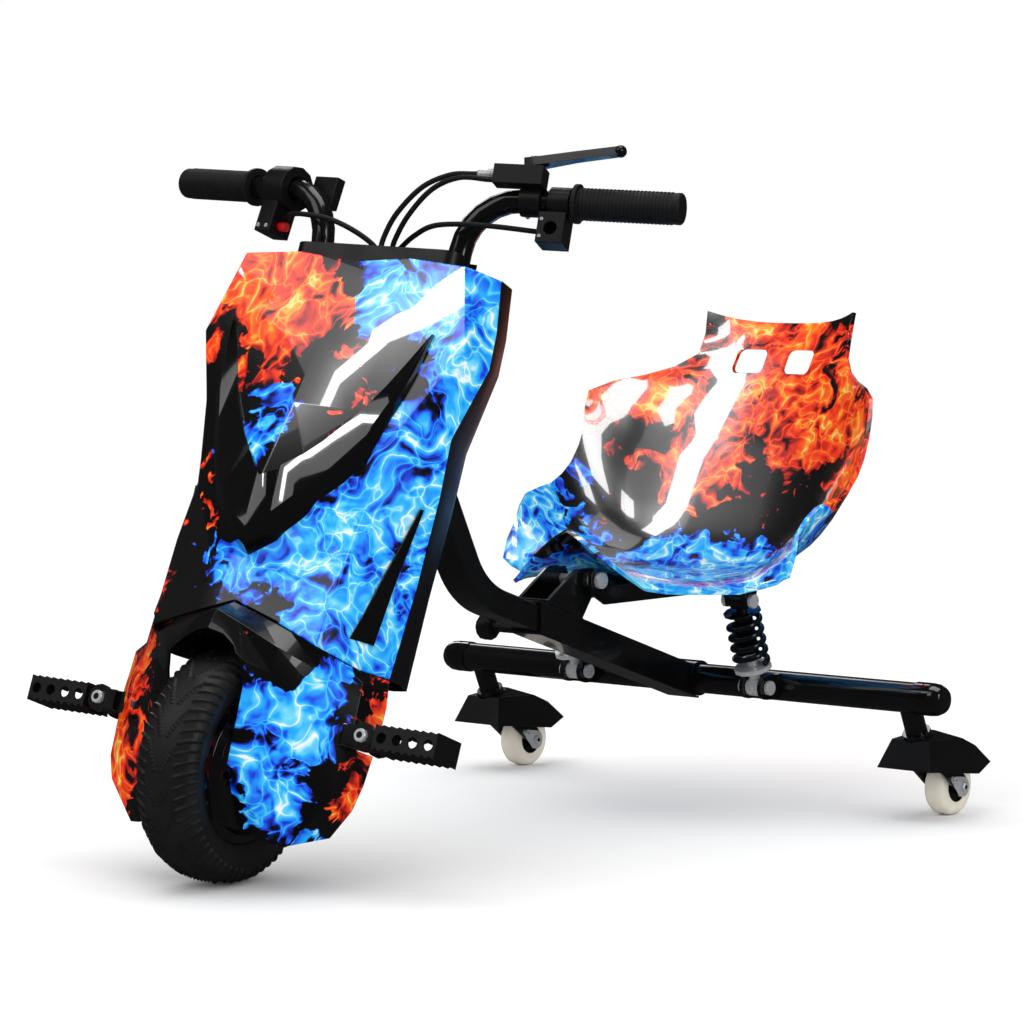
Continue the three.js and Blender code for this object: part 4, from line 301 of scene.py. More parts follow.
SEAT_ICE = [
    ((0, 190, 262), (230, 130, 60)), ((90, 240, 262), (160, 140, 50)), ((190, 300, 290), (70, 170, 60)),
    ((-100, 220, 270), (130, 120, 55)), ((-200, 270, 320), (60, 150, 80)), ((100, 150, 255), (150, 90, 60)),
    ((-120, 170, 285), (110, 80, 50)), ((120, 190, 280), (120, 90, 50)), ((0, 350, 266), (230, 85, 44)),
    ((180, 280, 300), (60, 90, 60)),
]


def linear(code):
    """A colour's sRGB hex code as linear red, green, blue and alpha."""
    parts = [int(code[i:i + 2], 16) / 255 for i in (0, 2, 4)]
    return [p / 12.92 if p <= 0.04045 else ((p + 0.055) / 1.055) ** 2.4 for p in parts] + [1.0]


def colour(title, code, words):
    """A setting for a finish's colour."""
    return bpy.props.FloatVectorProperty(
        name=title, description=words, default=linear(code), size=4, min=0, max=1, subtype="COLOR"
    )


def size(title, value, words):
    """A setting for a length; its default is in millimetres."""
    return bpy.props.FloatProperty(name=title, description=words, default=value * MM, unit="LENGTH", min=0)


class TrikeSettings(bpy.types.PropertyGroup):
    paint: colour("Paint", "08090A", "Black paint of the frame, forks and handlebar")
    plastic: colour("Plastic", "0D0D0F", "Black plastic of covers, boxes and fenders")
    gloss: colour("Gloss", "070708", "Glossy black of the chevron, the trims, the hubs and the caps")
    rubber: colour("Rubber", "101011", "Rubber of the grips and pegs")
    tyre: colour("Tyre", "161617", "Rubber of the front tyre")
    cream: colour("Cream", "E9E2D3", "Cream urethane of the caster wheels")
    zinc: colour("Zinc", "C6C8CB", "Zinc-plated steel of screws, bolts and rods")
    steel: colour("Steel", "3A3B3D", "Dark plated steel")
    red: colour("Red", "C01414", "Push button")
    bevel: size("Edge rounding", 1.2, "Rounding of the edges of sheet and moulded pieces")
    tread_depth: size("Tread depth", 2.2, "Depth of the grooves of the front tyre")
    rib_pitch: size("Rib pitch", 4.0, "Distance between the ribs of a grip")
    rib_height: size("Rib height", 0.9, "Height of the ribs of a grip")
    cable_width: size("Cable diameter", 5.6, "Diameter of the control cables")


def settings():
    """The settings on the scene."""
    return bpy.context.scene.trike


def node(tree, kind, inputs=None, **values):
    """Adds a shader node; inputs maps a socket's name or number to a value or to a socket that feeds it."""
    made = tree.nodes.new("ShaderNode" + kind)
    for key, value in values.items():
        setattr(made, key, value)
    for key, value in (inputs or {}).items():
        if isinstance(value, bpy.types.NodeSocket):
            tree.links.new(value, made.inputs[key])
        else:
            made.inputs[key].default_value = value
    return made


def ramp(tree, factor, stops):
    """A colour ramp with stops of (position, colour)."""
    made = node(tree, "ValToRGB", {"Fac": factor})
    elements = made.color_ramp.elements
    for _ in range(len(stops) - len(elements)):
        elements.new(0.5)
    for element, (place, tint) in zip(elements, stops):
        element.position = place
        element.color = tint
    return made.outputs["Color"]


def spread(tree, value, low, high, least, most):
    """A value taken from between low and high to between least and most."""
    ends = {"Value": value, "From Min": low, "From Max": high, "To Min": least, "To Max": most}
    return node(tree, "MapRange", ends).outputs["Result"]


def finish(name, tint, rough, metallic=0.0, coat=0.0, grain=0.0, per_mm=0.03, shift=0.25):
    """A finish whose colour and gloss wander over a noise pattern; rough is (least, most) roughness."""
    if name in bpy.data.materials:
        return bpy.data.materials[name]
    material = bpy.data.materials.new(name)
    material.use_nodes = True
    tree = material.node_tree
    shader = tree.nodes["Principled BSDF"]
    place = node(tree, "TexCoord").outputs["Object"]
    noise = node(tree, "TexNoise", {"Vector": place, "Scale": per_mm / MM, "Detail": 3.0}).outputs["Fac"]
    lighter = [min(1.0, c * (1 + shift)) for c in tint[:3]] + [1.0]
    tree.links.new(ramp(tree, noise, [(0.35, tint), (0.65, lighter)]), shader.inputs["Base Color"])
    tree.links.new(spread(tree, noise, 0.3, 0.7, *rough), shader.inputs["Roughness"])
    shader.inputs["Metallic"].default_value = metallic
    shader.inputs["Coat Weight"].default_value = coat
    shader.inputs["Coat Roughness"].default_value = 0.04
    if grain:
        fine = node(tree, "TexNoise", {"Vector": place, "Scale": 0.9 / MM, "Detail": 2.0}).outputs["Fac"]
        bump = node(tree, "Bump", {"Strength": grain, "Distance": 0.3 * MM, "Height": fine})
        tree.links.new(bump.outputs["Normal"], shader.inputs["Normal"])
    return material


def black_paint():
    # Gloss powder coat
    return finish("black_powder_coat", settings().paint, (0.16, 0.24), coat=0.6)


def black_plastic():
    # Moulded plastic with a fine grain
    return finish("grained_black_plastic", settings().plastic, (0.3, 0.42), grain=0.12)


def gloss_black():
    # High gloss moulding
    return finish("high_gloss_black", settings().gloss, (0.06, 0.1), coat=1.0)


def rubber():
    # Matt rubber
    return finish("moulded_rubber", settings().rubber, (0.5, 0.65), grain=0.25)


def tyre_rubber():
    # Tyre rubber, a little dusty
    return finish("tyre_rubber", settings().tyre, (0.42, 0.58), grain=0.3)


def cream():
    # Urethane wheel
    return finish("cream_urethane", settings().cream, (0.2, 0.3), coat=0.3, shift=0.04)


def zinc():
    # Zinc-plated steel, partly dulled
    return finish("bright_zinc", settings().zinc, (0.2, 0.32), metallic=0.5, shift=0.04)


def steel():
    # Dark plated steel
    return finish("dark_steel", settings().steel, (0.25, 0.35), metallic=1.0)


def red_plastic():
    # Red push button
    return finish("red_plastic", settings().red, (0.25, 0.35))


def total(tree, values, operation="ADD"):
    """Folds sockets into one with a Math operation."""
    result = values[0]
    for value in values[1:]:
        result = node(tree, "Math", {0: result, 1: value}, operation=operation).outputs[0]
    return result


def flames(tree, place, noise, glow, cells, blobs):
    """Heat of a flame field: soft blobs whose border is torn by noise, with bright threads between cells."""
    presence = []
    for centre, half in blobs:
        span = {"Vector": place, "Location": centre, "Scale": half}
        spot = node(tree, "Mapping", span, vector_type="TEXTURE").outputs["Vector"]
        ball = node(tree, "TexGradient", {"Vector": spot}, gradient_type="SPHERICAL")
        presence.append(ball.outputs["Fac"])
    torn = node(tree, "Math", {0: noise, 1: TEAR_GAIN, 2: TEAR_SHIFT}, operation="MULTIPLY_ADD").outputs[0]
    near = node(tree, "Math", {0: total(tree, presence), 1: 1.0}, operation="MINIMUM").outputs[0]
    field = total(tree, [near, torn])
    inside = spread(tree, field, 0.0, 0.07, 0.0, 1.0)
    parts = [
        spread(tree, field, 0.0, 0.75, 0.14, 0.5), spread(tree, glow, 0.3, 0.7, -0.26, 0.34),
        spread(tree, cells, 0.0, 0.35, 0.1, -0.14), spread(tree, cells, 0.0, 0.06, 0.2, 0.0),
    ]
    return total(tree, [total(tree, parts), inside], "MULTIPLY")


def film(name, matrix, fires, ices):
    """A printed film of flames under clear lacquer: warm flames and cold flames on black."""
    material = bpy.data.materials.new(name)
    material.use_nodes = True
    tree = material.node_tree
    shader = tree.nodes["Principled BSDF"]
    whole = {
        "Vector": node(tree, "TexCoord").outputs["Object"], "Location": matrix.translation,
        "Rotation": matrix.to_euler(), "Scale": (MM, MM, MM),
    }
    place = node(tree, "Mapping", whole, vector_type="TEXTURE").outputs["Vector"]
    drift = node(tree, "TexNoise", {"Vector": place, "Scale": WARP_SCALE, "Detail": 2.0}).outputs["Color"]
    amount = {0: drift, 1: (WARP_REACH, WARP_REACH, WARP_REACH), 2: place}
    warped = node(tree, "VectorMath", amount, operation="MULTIPLY_ADD").outputs["Vector"]
    noise = node(tree, "TexNoise", {"Vector": warped, "Scale": TEAR_SCALE, "Detail": 4.0, "Roughness": 0.6})
    glow = node(tree, "TexNoise", {"Vector": warped, "Scale": MOTTLE_SCALE, "Detail": 2.0, "Roughness": 0.5})
    cells = node(tree, "TexVoronoi", {"Vector": warped, "Scale": CELL_SCALE}, feature="DISTANCE_TO_EDGE")
    facts = [noise.outputs["Fac"], glow.outputs["Fac"], cells.outputs["Distance"]]
    black = linear("050506")
    hot = flames(tree, place, *facts, fires)
    icy = flames(tree, place, *facts, ices)
    warm = ramp(tree, hot, [
        (0.0, black), (0.1, linear("3A0300")), (0.26, linear("C81400")), (0.42, linear("FF3600")),
        (0.6, linear("FF6A0C")), (0.8, linear("FFB02A")), (0.96, linear("FFE688")),
    ])
    cold = ramp(tree, icy, [
        (0.0, black), (0.1, linear("000C4C")), (0.22, linear("0038E0")), (0.36, linear("0080FF")),
        (0.52, linear("18B4FF")), (0.72, linear("70DCFF")), (0.92, linear("F0FCFF")),
    ])
    colder = node(tree, "Math", {0: icy, 1: hot}, operation="GREATER_THAN").outputs[0]
    both = node(tree, "Mix", {0: colder, 6: warm, 7: cold}, data_type="RGBA").outputs[2]
    tree.links.new(both, shader.inputs["Base Color"])
    shader.inputs["Roughness"].default_value = 0.25
    shader.inputs["Coat Weight"].default_value = 1.0
    shader.inputs["Coat Roughness"].default_value = 0.02
    return material


def piece(name, bm, body, material, nodes=(), sharp=38.0):
    """Turns a bmesh in the row frame into a piece that rides on a body and stands for CAD nodes."""
    bmesh.ops.remove_doubles(bm, verts=bm.verts, dist=0.01 * MM)
    bmesh.ops.recalc_face_normals(bm, faces=bm.faces)
    for face in bm.faces:
        face.smooth = True
    mesh = bpy.data.meshes.new(name)
    bm.to_mesh(mesh)
    bm.free()
    mesh.set_sharp_from_angle(angle=math.radians(sharp))
    mesh.materials.append(material)
    obj = bpy.data.objects.new(name, mesh)
    bpy.context.scene.collection.objects.link(obj)
    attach(obj, body)
    if nodes:
        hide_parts(*nodes)
    even = obj.modifiers.new("Even normals", "WEIGHTED_NORMAL")
    even.keep_sharp = True
    return obj


def body_of(name):
    """The name of the body that a CAD node rides on."""
    return frame["nodes"][name].parent.name.split(":")[1]


def middle(name):
    """The middle of a CAD node's box."""
    low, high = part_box(name)
    return (Vector(low) + Vector(high)) / 2


def refined(name, material, bevel=None, segments=2, sharp=34.0):
    """A closer copy of a CAD node: flat faces joined and sharp edges rounded."""
    source = frame["nodes"][name]
    bm = bmesh.new()
    bm.from_mesh(source.data)
    bm.transform(source.matrix_world)
    bmesh.ops.remove_doubles(bm, verts=bm.verts, dist=0.01 * MM)
    bmesh.ops.dissolve_degenerate(bm, edges=bm.edges, dist=0.25 * MM)
    bmesh.ops.dissolve_limit(bm, angle_limit=math.radians(2), verts=bm.verts, edges=bm.edges)
    limit = math.radians(sharp)
    edges = [e for e in bm.edges if e.is_manifold and e.calc_face_angle() > limit]
    width = settings().bevel if bevel is None else bevel * MM
    if edges and width:
        bmesh.ops.bevel(
            bm, geom=edges, offset=width, offset_type="OFFSET", segments=segments, profile=0.5,
            affect="EDGES", clamp_overlap=True, material=-1,
        )
    return piece("fine_" + name, bm, body_of(name), material, [name])


def aim(centre, axis):
    """A frame at a centre whose own Z lies along an axis."""
    return Matrix.Translation(centre) @ axis.to_track_quat("Z", "Y").to_matrix().to_4x4()


def lathe(bm, profile, matrix, steps=32):
    """Spins a profile of (radius, height) in millimetres round the matrix's own Z."""
    verts = [bm.verts.new(matrix @ Vector((r * MM, 0, h * MM))) for r, h in profile]
    edges = [bm.edges.new(pair) for pair in zip(verts, verts[1:])]
    axis = matrix.to_3x3() @ Vector((0, 0, 1))
    bmesh.ops.spin(
        bm, geom=verts + edges, cent=matrix.translation, axis=axis, angle=math.tau, steps=steps,
        use_merge=True, use_duplicate=False,
    )
    bmesh.ops.remove_doubles(bm, verts=bm.verts, dist=0.01 * MM)


def section(half):
    """A whole section from the half of it that lies on the +Z side, as (radius, height)."""
    return [(r, -w) for r, w in half] + [(r, w) for r, w in reversed(half)]


def screw(bm, centre, axis, radius, length, steps=20):
    """A socket head screw that stands on a face: centre and axis in the row frame, sizes in millimetres."""
    profile = [
        (0, 0), (radius, 0), (radius, length * 0.8), (radius * 0.86, length), (radius * 0.52, length),
        (radius * 0.48, length * 0.4), (0, length * 0.4),
    ]
    lathe(bm, profile, aim(centre, axis), steps)


def bar_point(side, x):
    """A point on the straight end of the handlebar, in the row frame."""
    share = (x - BAR_SHOULDER.x) / (BAR_END.x - BAR_SHOULDER.x)
    spot = BAR_SHOULDER.lerp(BAR_END, share)
    return STEERING @ (Vector((side * spot.x, spot.y, spot.z)) * MM)


def bar_axis(side):
    """The direction in which that end of the handlebar runs outwards."""
    return (bar_point(side, BAR_END.x) - bar_point(side, BAR_SHOULDER.x)).normalized()


def bar_frame(side, x):
    """A control's frame on the bar: its X runs outwards on the left side and inwards on the right."""
    spot = bar_point(side, x)
    turn = (STEERING.to_3x3() @ Vector((side, 0, 0))).rotation_difference(bar_axis(side))
    return Matrix.Translation(spot) @ (turn.to_matrix() @ STEERING.to_3x3()).to_4x4()


def in_frame(place, *spot):
    """A spot given in millimetres in a frame, in the row frame."""
    return place @ (Vector(spot) * MM)


def curve_points(route):
    """Points of a smooth line through a route, in the row frame."""
    ends = [route[0]] + list(route) + [route[-1]]
    spots = [Vector(p) for p in ends]
    made = []
    for a, b, c, d in zip(spots, spots[1:], spots[2:], spots[3:]):
        for k in range(CURVE_STEPS):
            t = k / CURVE_STEPS
            bend = (2 * a - 5 * b + 4 * c - d) * t * t + (3 * b - a - 3 * c + d) * t ** 3
            made.append(STEERING @ ((2 * b + (c - a) * t + bend) / 2 * MM))
    return made + [STEERING @ (spots[-1] * MM)]


class TRIKE_OT_cables(bpy.types.Operator):
    """Runs the four control cables from the bar into the deck"""
    bl_idname = "trike.cables"
    bl_label = "Cables"

    def execute(self, context):
        width = settings().cable_width
        for name, route in CABLES.items():
            points = curve_points(route)
            curve = bpy.data.curves.new(name, "CURVE")
            curve.dimensions = "3D"
            curve.bevel_depth = width / 2
            curve.bevel_resolution = 3
            curve.use_fill_caps = True
            spline = curve.splines.new("POLY")
            spline.points.add(len(points) - 1)
            for spot, place in zip(spline.points, points):
                spot.co = (*place, 1)
            curve.materials.append(rubber())
            obj = bpy.data.objects.new("fine_" + name, curve)
            context.scene.collection.objects.link(obj)
            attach(obj, "steering")
            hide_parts(name)
        return {"FINISHED"}


class TRIKE_OT_stage(bpy.types.Operator):
    """Sets the camera, the white floor, the soft lights and the world"""
    bl_idname = "trike.stage"
    bl_label = "Stage"

    def execute(self, context):
        scene = context.scene
        scene.view_settings.view_transform = "Standard"
        level = math.cos(CAMERA_ELEVATION)
        look = Vector((
            -math.sin(CAMERA_AZIMUTH) * level, math.cos(CAMERA_AZIMUTH) * level, -math.sin(CAMERA_ELEVATION)
        ))
        data = bpy.data.cameras.new("camera")
        data.lens = CAMERA_LENS
        data.sensor_width = SENSOR
        data.clip_end = 50
        camera = bpy.data.objects.new("camera", data)
        camera.location = CAMERA_PLACE
        camera.rotation_mode = "QUATERNION"
        camera.rotation_quaternion = look.to_track_quat("-Z", "Y")
        scene.collection.objects.link(camera)
        scene.camera = camera

        bm = bmesh.new()
        bmesh.ops.create_grid(bm, x_segments=2, y_segments=2, size=FLOOR_HALF)
        mesh = bpy.data.meshes.new("floor")
        bm.to_mesh(mesh)
        bm.free()
        white = finish("white_floor", linear("FAFAFA"), (0.85, 0.9), shift=0.01)
        white.node_tree.nodes["Principled BSDF"].inputs["Specular IOR Level"].default_value = 0
        mesh.materials.append(white)
        floor = bpy.data.objects.new("floor", mesh)
        floor.visible_glossy = False
        scene.collection.objects.link(floor)

        world = bpy.data.worlds.new("studio")
        scene.world = world
        world.use_nodes = True
        world.cycles.sampling_method = "NONE"
        tree = world.node_tree
        tree.nodes.clear()
        path = node(tree, "LightPath")
        plain, soft, dark = [
            node(tree, "Background", {"Color": (1, 1, 1, 1), "Strength": strength}).outputs[0]
            for strength in (WORLD_SEEN, WORLD_LIGHT, WORLD_MIRRORED)
        ]
        lit = node(tree, "MixShader", {0: path.outputs["Is Glossy Ray"], 1: soft, 2: dark}).outputs[0]
        seen = node(tree, "MixShader", {0: path.outputs["Is Camera Ray"], 1: lit, 2: plain})
        out = node(tree, "OutputWorld", {"Surface": seen.outputs[0]})
        out.is_active_output = True

        for name, spot, target, along, length, wide, watts, shines in LAMPS:
            lamp = bpy.data.lights.new(name, "AREA")
            lamp.shape = "RECTANGLE"
            lamp.size = length
            lamp.size_y = wide
            lamp.energy = watts
            back = (Vector(spot) - Vector(target)).normalized()
            across = back.cross(Vector(along)).normalized()
            turn = Matrix((across.cross(back), across, back)).transposed()
            obj = bpy.data.objects.new(name, lamp)
            obj.matrix_world = Matrix.Translation(spot) @ turn.to_4x4()
            obj.visible_camera = False
            obj.visible_diffuse = shines
            obj.visible_glossy = not shines
            scene.collection.objects.link(obj)
        return {"FINISHED"}


def tread(arc, reach):
    """How deep the tread is cut, from 0 to 1, at an arc along the tyre and a reach from its middle."""
    bend = BEND_INSIDE * min(reach, SHOULDER) + BEND_OUTSIDE * max(reach - SHOULDER, 0)
    cut = 0.0
    for start, pitch, half in (
        (SLOT_START, TREAD_PITCH, SLOT_HALF), (SWEEP_START, SWEEP_EVERY * TREAD_PITCH, SWEEP_HALF),
    ):
        if reach > start:
            cut = max(cut, half - abs((arc + bend) % pitch - pitch / 2))
    return min(1.0, cut)


class TRIKE_OT_front_wheel(bpy.types.Operator):
    """Builds the front tyre with its tread, the hub motor and the axle"""
    bl_idname = "trike.front_wheel"
    bl_label = "Front wheel"

    def execute(self, context):
        axis = STEERING.to_3x3() @ Vector((1, 0, 0))
        centre = middle("front_tyre")
        wheel = aim(centre, axis)
        corners = [Vector(spot) for spot in section(TYRE_SECTION)]
        profile = []
        for start, end in zip(corners, corners[1:]):
            fine = min(start.x, end.x) >= SIDEWALL_RADIUS
            parts = max(1, round((end - start).length / TREAD_GRID)) if fine else 1
            profile += [start.lerp(end, k / parts) for k in range(parts)]
        bm = bmesh.new()
        lathe(bm, profile + [corners[-1]], wheel, TREAD_STEPS)
        bm.normal_update()
        back = wheel.inverted()
        depth = settings().tread_depth
        for vert in bm.verts:
            spot = back @ vert.co / MM
            if math.hypot(spot.x, spot.y) > TREAD_RADIUS:
                arc = math.atan2(spot.y, spot.x) / math.tau * TREAD_SLOTS * TREAD_PITCH
                vert.co -= vert.normal * depth * tread(arc, abs(spot.z))
        piece("fine_front_tyre", bm, "front_wheel", tyre_rubber(), ["front_tyre"], sharp=60)
        refined("hub_motor", gloss_black(), bevel=0.8)
        bm = bmesh.new()
        for side in (-1, 1):
            for k in range(HUB_SCREWS):
                turn = Matrix.Rotation(k * math.tau / HUB_SCREWS, 4, "Z")
                spot = wheel @ turn @ (Vector((HUB_SCREW_CIRCLE, 0, side * HUB_SCREW_REACH)) * MM)
                screw(bm, spot, axis * side, *HUB_SCREW)
        piece("hub_screws", bm, "front_wheel", steel())
        refined("front_axle", steel(), bevel=0.8)
        return {"FINISHED"}


class TRIKE_OT_steering(bpy.types.Operator):
    """Refines the fork, the yoke and the handlebar"""
    bl_idname = "trike.steering"
    bl_label = "Fork and handlebar"

    def execute(self, context):
        refined("fork", black_paint())
        refined("top_yoke", black_paint())
        refined("handlebar", black_paint(), bevel=0.6)
        return {"FINISHED"}


class TRIKE_OT_controls(bpy.types.Operator):
    """Builds the grips, the screws and the adjuster, and refines the other controls"""
    bl_idname = "trike.controls"
    bl_label = "Controls"

    def execute(self, context):
        pitch, height = settings().rib_pitch / MM, settings().rib_height / MM
        for name, side in (("grip_left", 1), ("grip_right", -1)):
            profile = GRIP_FLANGE[:]
            for k in range(int(GRIP_RIBS_LENGTH / pitch)):
                start = GRIP_RIBS_START + k * pitch
                rise = ((0, 0), (height, 0.3), (height, 0.6), (0, 0.9))
                profile += [(GRIP_RADIUS + lift, start + share * pitch) for lift, share in rise]
            profile += GRIP_END
            bm = bmesh.new()
            lathe(bm, profile, aim(bar_point(side, GRIP_START), bar_axis(side)), steps=28)
            piece("fine_" + name, bm, body_of(name), rubber(), [name])
        for name in ("throttle_housing", "display", "brake_perch", "switch_box"):
            refined(name, black_plastic(), bevel=0.3 if name == "brake_perch" else 1.0)
        refined("brake_lever", black_paint(), bevel=0.6)
        refined("push_button", red_plastic(), bevel=0.8)
        places = {control: bar_frame(*spot) for control, spot in CONTROLS.items()}
        bm = bmesh.new()
        lathe(bm, ADJUSTER, aim(in_frame(places["perch"], *ADJUSTER_FOOT), -bar_axis(1)), steps=24)
        piece("cable_adjuster", bm, "steering", zinc())
        bm = bmesh.new()
        for control, spot, way, radius, length, steps in CONTROL_SCREWS:
            place = places[control]
            axis = (place.to_3x3() @ Vector(way)).normalized()
            screw(bm, in_frame(place, *spot), axis, radius, length, steps)
        piece("control_screws", bm, "steering", zinc())
        return {"FINISHED"}


class TRIKE_OT_bodywork(bpy.types.Operator):
    """Refines the printed panel and wheel cover, the chevron, the trims, the deck and the rear cover"""
    bl_idname = "trike.bodywork"
    bl_label = "Bodywork"

    def execute(self, context):
        panel_film = film("panel_film", STEERING, PANEL_FIRE, PANEL_ICE)
        cover_film = film("cover_film", STEERING, COVER_FIRE, COVER_ICE)
        refined("front_panel", panel_film, bevel=1.6, segments=3, sharp=20)
        refined("wheel_cover", cover_film, bevel=1.2, segments=2, sharp=24)
        refined("chevron_trim", gloss_black(), bevel=1.6, segments=3)
        refined("side_trim_left", gloss_black(), bevel=0.8)
        refined("side_trim_right", gloss_black(), bevel=0.8)
        refined("deck_lid", black_plastic(), bevel=2.0, segments=3)
        refined("rear_cover", black_plastic(), bevel=1.0)
        return {"FINISHED"}


def peg_shell(bm, side):
    """A moulded channel, open to the rear, with a toothed top and bottom and four holes in its front."""
    pitch = (PEG_TIP - PEG_ROOT) / PEG_HOLES
    half = Vector((pitch / 2, PEG_HALF_HEIGHT))
    front = PEG_PIN.y - PEG_HALF_DEPTH
    for k in range(PEG_HOLES):
        centre = PEG_ROOT + pitch * (k + 0.5)
        rim = []
        for turn in range(4):
            for step in range(4):
                along, out = step / 2 - 1, 1.0
                x, z = [(out, along), (-along, out), (-out, -along), (along, -out)][turn]
                tooth = PEG_TOOTH if turn % 2 and step % 2 else 0.0
                rim.append((x * half.x, z * (half.y - tooth)))
        hole = []
        for step in range(PEG_HOLE_STEPS):
            angle = math.tau * (step - 2) / PEG_HOLE_STEPS
            hole.append((PEG_HOLE_RADIUS * math.cos(angle), PEG_HOLE_RADIUS * math.sin(angle)))
        edges = []
        for loop in (rim, hole):
            spots = [Vector((side * (centre + x), front, PEG_PIN.z + z)) * MM for x, z in loop]
            verts = [bm.verts.new(spot) for spot in spots]
            edges += [bm.edges.new(pair) for pair in zip(verts, verts[1:] + verts[:1])]
        bmesh.ops.bridge_loops(bm, edges=edges)
    bmesh.ops.remove_doubles(bm, verts=bm.verts, dist=0.01 * MM)
    outer = []
    for edge in bm.edges:
        spot = (edge.verts[0].co + edge.verts[1].co) / 2 / MM
        at_end = min(abs(abs(spot.x) - PEG_ROOT), abs(abs(spot.x) - PEG_TIP)) < 0.1
        if edge.is_boundary and (at_end or abs(spot.z - PEG_PIN.z) > PEG_HOLE_RADIUS + 2):
            outer.append(edge)
    grown = bmesh.ops.extrude_edge_only(bm, edges=outer)["geom"]
    moved = [v for v in grown if isinstance(v, bmesh.types.BMVert)]
    bmesh.ops.translate(bm, verts=moved, vec=(0, 2 * PEG_HALF_DEPTH * MM, 0))
    bmesh.ops.recalc_face_normals(bm, faces=bm.faces)
    ahead = sum(face.normal.y for face in bm.faces if abs(face.normal.y) > 0.9)
    if ahead > 0:
        bmesh.ops.reverse_faces(bm, faces=bm.faces)
    bmesh.ops.solidify(bm, geom=bm.faces[:], thickness=PEG_WALL * MM)


class TRIKE_OT_pegs(bpy.types.Operator):
    """Builds the folding foot pegs with their pivot screws and refines their brackets"""
    bl_idname = "trike.pegs"
    bl_label = "Foot pegs"

    def execute(self, context):
        for name, side in (("left", 1), ("right", -1)):
            node_name = "peg_" + name
            source = frame["nodes"][node_name]
            tongue = bmesh.new()
            tongue.from_mesh(source.data)
            tongue.transform(STEERING.inverted() @ source.matrix_world)
            bmesh.ops.remove_doubles(tongue, verts=tongue.verts, dist=0.01 * MM)
            bmesh.ops.bisect_plane(
                tongue, geom=tongue.verts[:] + tongue.edges[:] + tongue.faces[:],
                plane_co=(side * (PEG_ROOT - 0.4) * MM, 0, 0), plane_no=(side, 0, 0), clear_outer=True,
            )
            bmesh.ops.holes_fill(tongue, edges=[edge for edge in tongue.edges if edge.is_boundary])
            kept = bpy.data.meshes.new("tongue")
            tongue.to_mesh(kept)
            tongue.free()
            bm = bmesh.new()
            peg_shell(bm, side)
            bm.from_mesh(kept)
            bpy.data.meshes.remove(kept)
            bm.transform(STEERING)
            piece("fine_" + node_name, bm, node_name, black_plastic(), [node_name], sharp=30)
            refined("peg_bracket_" + name, black_paint(), bevel=0.8)
            bm = bmesh.new()
            spot = STEERING @ (Vector((side * PEG_PIN.x, PEG_PIN.y - PEG_SCREW_REACH, PEG_PIN.z)) * MM)
            screw(bm, spot, STEERING.to_3x3() @ Vector((0, -1, 0)), *PEG_SCREW)
            piece("peg_screw_" + name, bm, "steering", zinc())
        return {"FINISHED"}


class TRIKE_OT_frame(bpy.types.Operator):
    """Refines the gooseneck, the sliding beam, the rear axle with its caps and the lock knob"""
    bl_idname = "trike.frame"
    bl_label = "Frame"

    def execute(self, context):
        for name in ("gooseneck", "head_tube", "rear_beam", "rear_axle", "seat_bracket"):
            width = FORGED_EDGE if name in ("gooseneck", "rear_beam") else TUBE_EDGE
            refined(name, black_paint(), bevel=width, segments=3)
        for name in ("axle_cap_left", "axle_cap_right"):
            low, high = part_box(name)
            side = 1 if low[0] > 0 else -1
            start = low if side > 0 else high
            centre = middle(name)
            base = Vector((start[0], centre.y, centre.z))
            bm = bmesh.new()
            lathe(bm, AXLE_CAP, aim(base, Vector((side, 0, 0))), steps=40)
            piece("fine_" + name, bm, body_of(name), gloss_black(), [name])
        refined("lock_knob", black_plastic(), bevel=0.8)
        refined("seat_hinge_bolt", zinc(), bevel=0.8)
        return {"FINISHED"}


class TRIKE_OT_seat(bpy.types.Operator):
    """Refines the printed seat shell and the carrier under it"""
    bl_idname = "trike.seat"
    bl_label = "Seat"

    def execute(self, context):
        seat_film = film("seat_film", Matrix.Identity(4), SEAT_FIRE, SEAT_ICE)
        refined("seat_shell", seat_film, bevel=2.0, segments=3, sharp=40)
        refined("seat_carrier", black_paint(), bevel=1.0)
        return {"FINISHED"}


class TRIKE_OT_shocks(bpy.types.Operator):
    """Builds the springs and refines the rods, bodies and bolts of the shock absorbers"""
    bl_idname = "trike.shocks"
    bl_label = "Shock absorbers"

    def execute(self, context):
        axis = Vector((0, -math.sin(SHOCK_LEAN), math.cos(SHOCK_LEAN)))
        for name in ("left", "right"):
            spring = "shock_spring_" + name
            side = 1 if middle(spring).x > 0 else -1
            foot = GAUGE @ ((SHOCK_LOW + Vector((side * SHOCK_X, 0, 0))) * MM)
            frame_up = aim(foot, axis)
            bm = bmesh.new()
            start = Matrix.Translation(Vector((SPRING_RADIUS, 0, SPRING_LOW + SPRING_WIRE)) * MM)
            ring = bmesh.ops.create_circle(
                bm, segments=12, radius=SPRING_WIRE * MM, cap_ends=True,
                matrix=frame_up @ start @ Matrix.Rotation(math.pi / 2, 4, "X"),
            )
            steps = int(SPRING_TURNS * SPRING_STEPS)
            rise = (SPRING_HIGH - SPRING_LOW - 2 * SPRING_WIRE) * MM / steps
            bmesh.ops.spin(
                bm, geom=ring["verts"] + bm.edges[:] + bm.faces[:], cent=foot, axis=axis, dvec=axis * rise,
                angle=SPRING_TURNS * math.tau, steps=steps, use_duplicate=False,
            )
            body = body_of(spring)
            made = piece("fine_" + spring, bm, body, black_paint(), [spring], sharp=60)
            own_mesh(made)
            refined("shock_rod_" + name, zinc(), bevel=0.6)
            refined("shock_body_" + name, black_paint(), bevel=0.6)
            refined("shock_bolt_high_" + name, zinc(), bevel=0.6)
            refined("shock_bolt_low_" + name, zinc(), bevel=0.6)
        return {"FINISHED"}


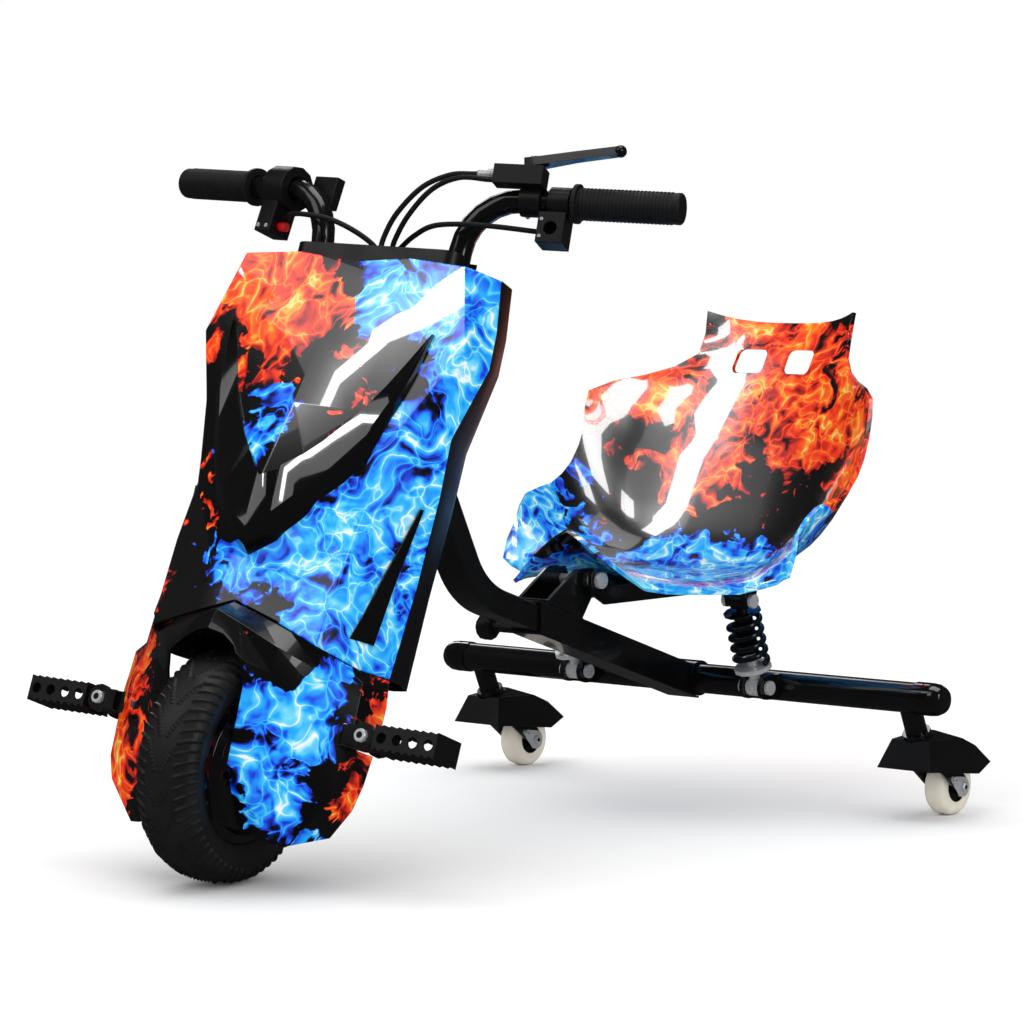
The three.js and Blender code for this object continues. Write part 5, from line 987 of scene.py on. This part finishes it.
class TRIKE_OT_casters(bpy.types.Operator):
    """Builds the caster wheels and refines their forks and fenders"""
    bl_idname = "trike.casters"
    bl_label = "Casters"

    def execute(self, context):
        out = Vector((1, 0, 0))
        for name in ("left", "right"):
            wheel = aim(middle("caster_tyre_" + name), out)
            profile = section(CASTER_SECTION)
            for part, ring, steps, material, slot in (
                ("caster_tyre_", profile + profile[:1], 56, cream(), "cream"),
                ("caster_hub_", CASTER_HUB, 40, gloss_black(), "gloss_black"),
            ):
                bm = bmesh.new()
                lathe(bm, ring, wheel, steps)
                piece("fine_" + part + name, bm, "caster_wheel_" + name, material, [part + name])
            refined("caster_fork_" + name, black_paint(), bevel=0.8)
            refined("caster_fender_" + name, black_plastic(), bevel=0.8)
            bm = bmesh.new()
            spots = []
            for height in PLATE_FACES:
                for radius, (y, z) in PLATE_ROUNDS:
                    for k in range(PLATE_STEPS):
                        turn = k * math.tau / PLATE_STEPS
                        spot = Vector((height, y + radius * math.cos(turn), z + radius * math.sin(turn)))
                        spots.append(bm.verts.new(wheel.translation + spot * MM))
            bmesh.ops.convex_hull(bm, input=spots)
            piece("caster_plate_" + name, bm, "caster_" + name, zinc(), sharp=30)
            bm = bmesh.new()
            for (y, z), radius, length, steps in PLATE_SCREWS:
                spot = wheel.translation + Vector((PLATE_FACES[1], y, z)) * MM
                screw(bm, spot, out, radius, length, steps)
            piece("caster_screws_" + name, bm, "caster_" + name, zinc())
        return {"FINISHED"}


class TRIKE_OT_reflections(bpy.types.Operator):
    """Lets each streak lamp be mirrored in its own pieces alone"""
    bl_idname = "trike.reflections"
    bl_label = "Reflections"

    def execute(self, context):
        for name, pieces in MIRRORED.items():
            group = bpy.data.collections.new(name + "_receivers")
            for made in pieces:
                group.objects.link(bpy.data.objects[made])
            bpy.data.objects[name].light_linking.receiver_collection = group
        return {"FINISHED"}


OPERATORS = (
    TRIKE_OT_stage, TRIKE_OT_cables, TRIKE_OT_front_wheel, TRIKE_OT_steering, TRIKE_OT_controls,
    TRIKE_OT_bodywork, TRIKE_OT_pegs, TRIKE_OT_frame, TRIKE_OT_seat, TRIKE_OT_shocks, TRIKE_OT_casters,
    TRIKE_OT_reflections,
)


class TRIKE_PT_panel(bpy.types.Panel):
    """Lists the settings and the operators"""
    bl_idname = "TRIKE_PT_panel"
    bl_label = "Drift trike"
    bl_space_type = "VIEW_3D"
    bl_region_type = "UI"
    bl_category = "Trike"

    def draw(self, context):
        for name in TrikeSettings.__annotations__:
            self.layout.prop(context.scene.trike, name)
        for operator in OPERATORS:
            self.layout.operator(operator.bl_idname)


def register():
    for kind in (TrikeSettings, *OPERATORS, TRIKE_PT_panel):
        bpy.utils.register_class(kind)
    bpy.types.Scene.trike = bpy.props.PointerProperty(type=TrikeSettings)


def unregister():
    del bpy.types.Scene.trike
    for kind in reversed((TrikeSettings, *OPERATORS, TRIKE_PT_panel)):
        bpy.utils.unregister_class(kind)


def main():
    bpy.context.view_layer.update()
    register()
    for operator in OPERATORS:
        group, name = operator.bl_idname.split(".")
        getattr(getattr(bpy.ops, group), name)()


if __name__ == "__main__":
    main()
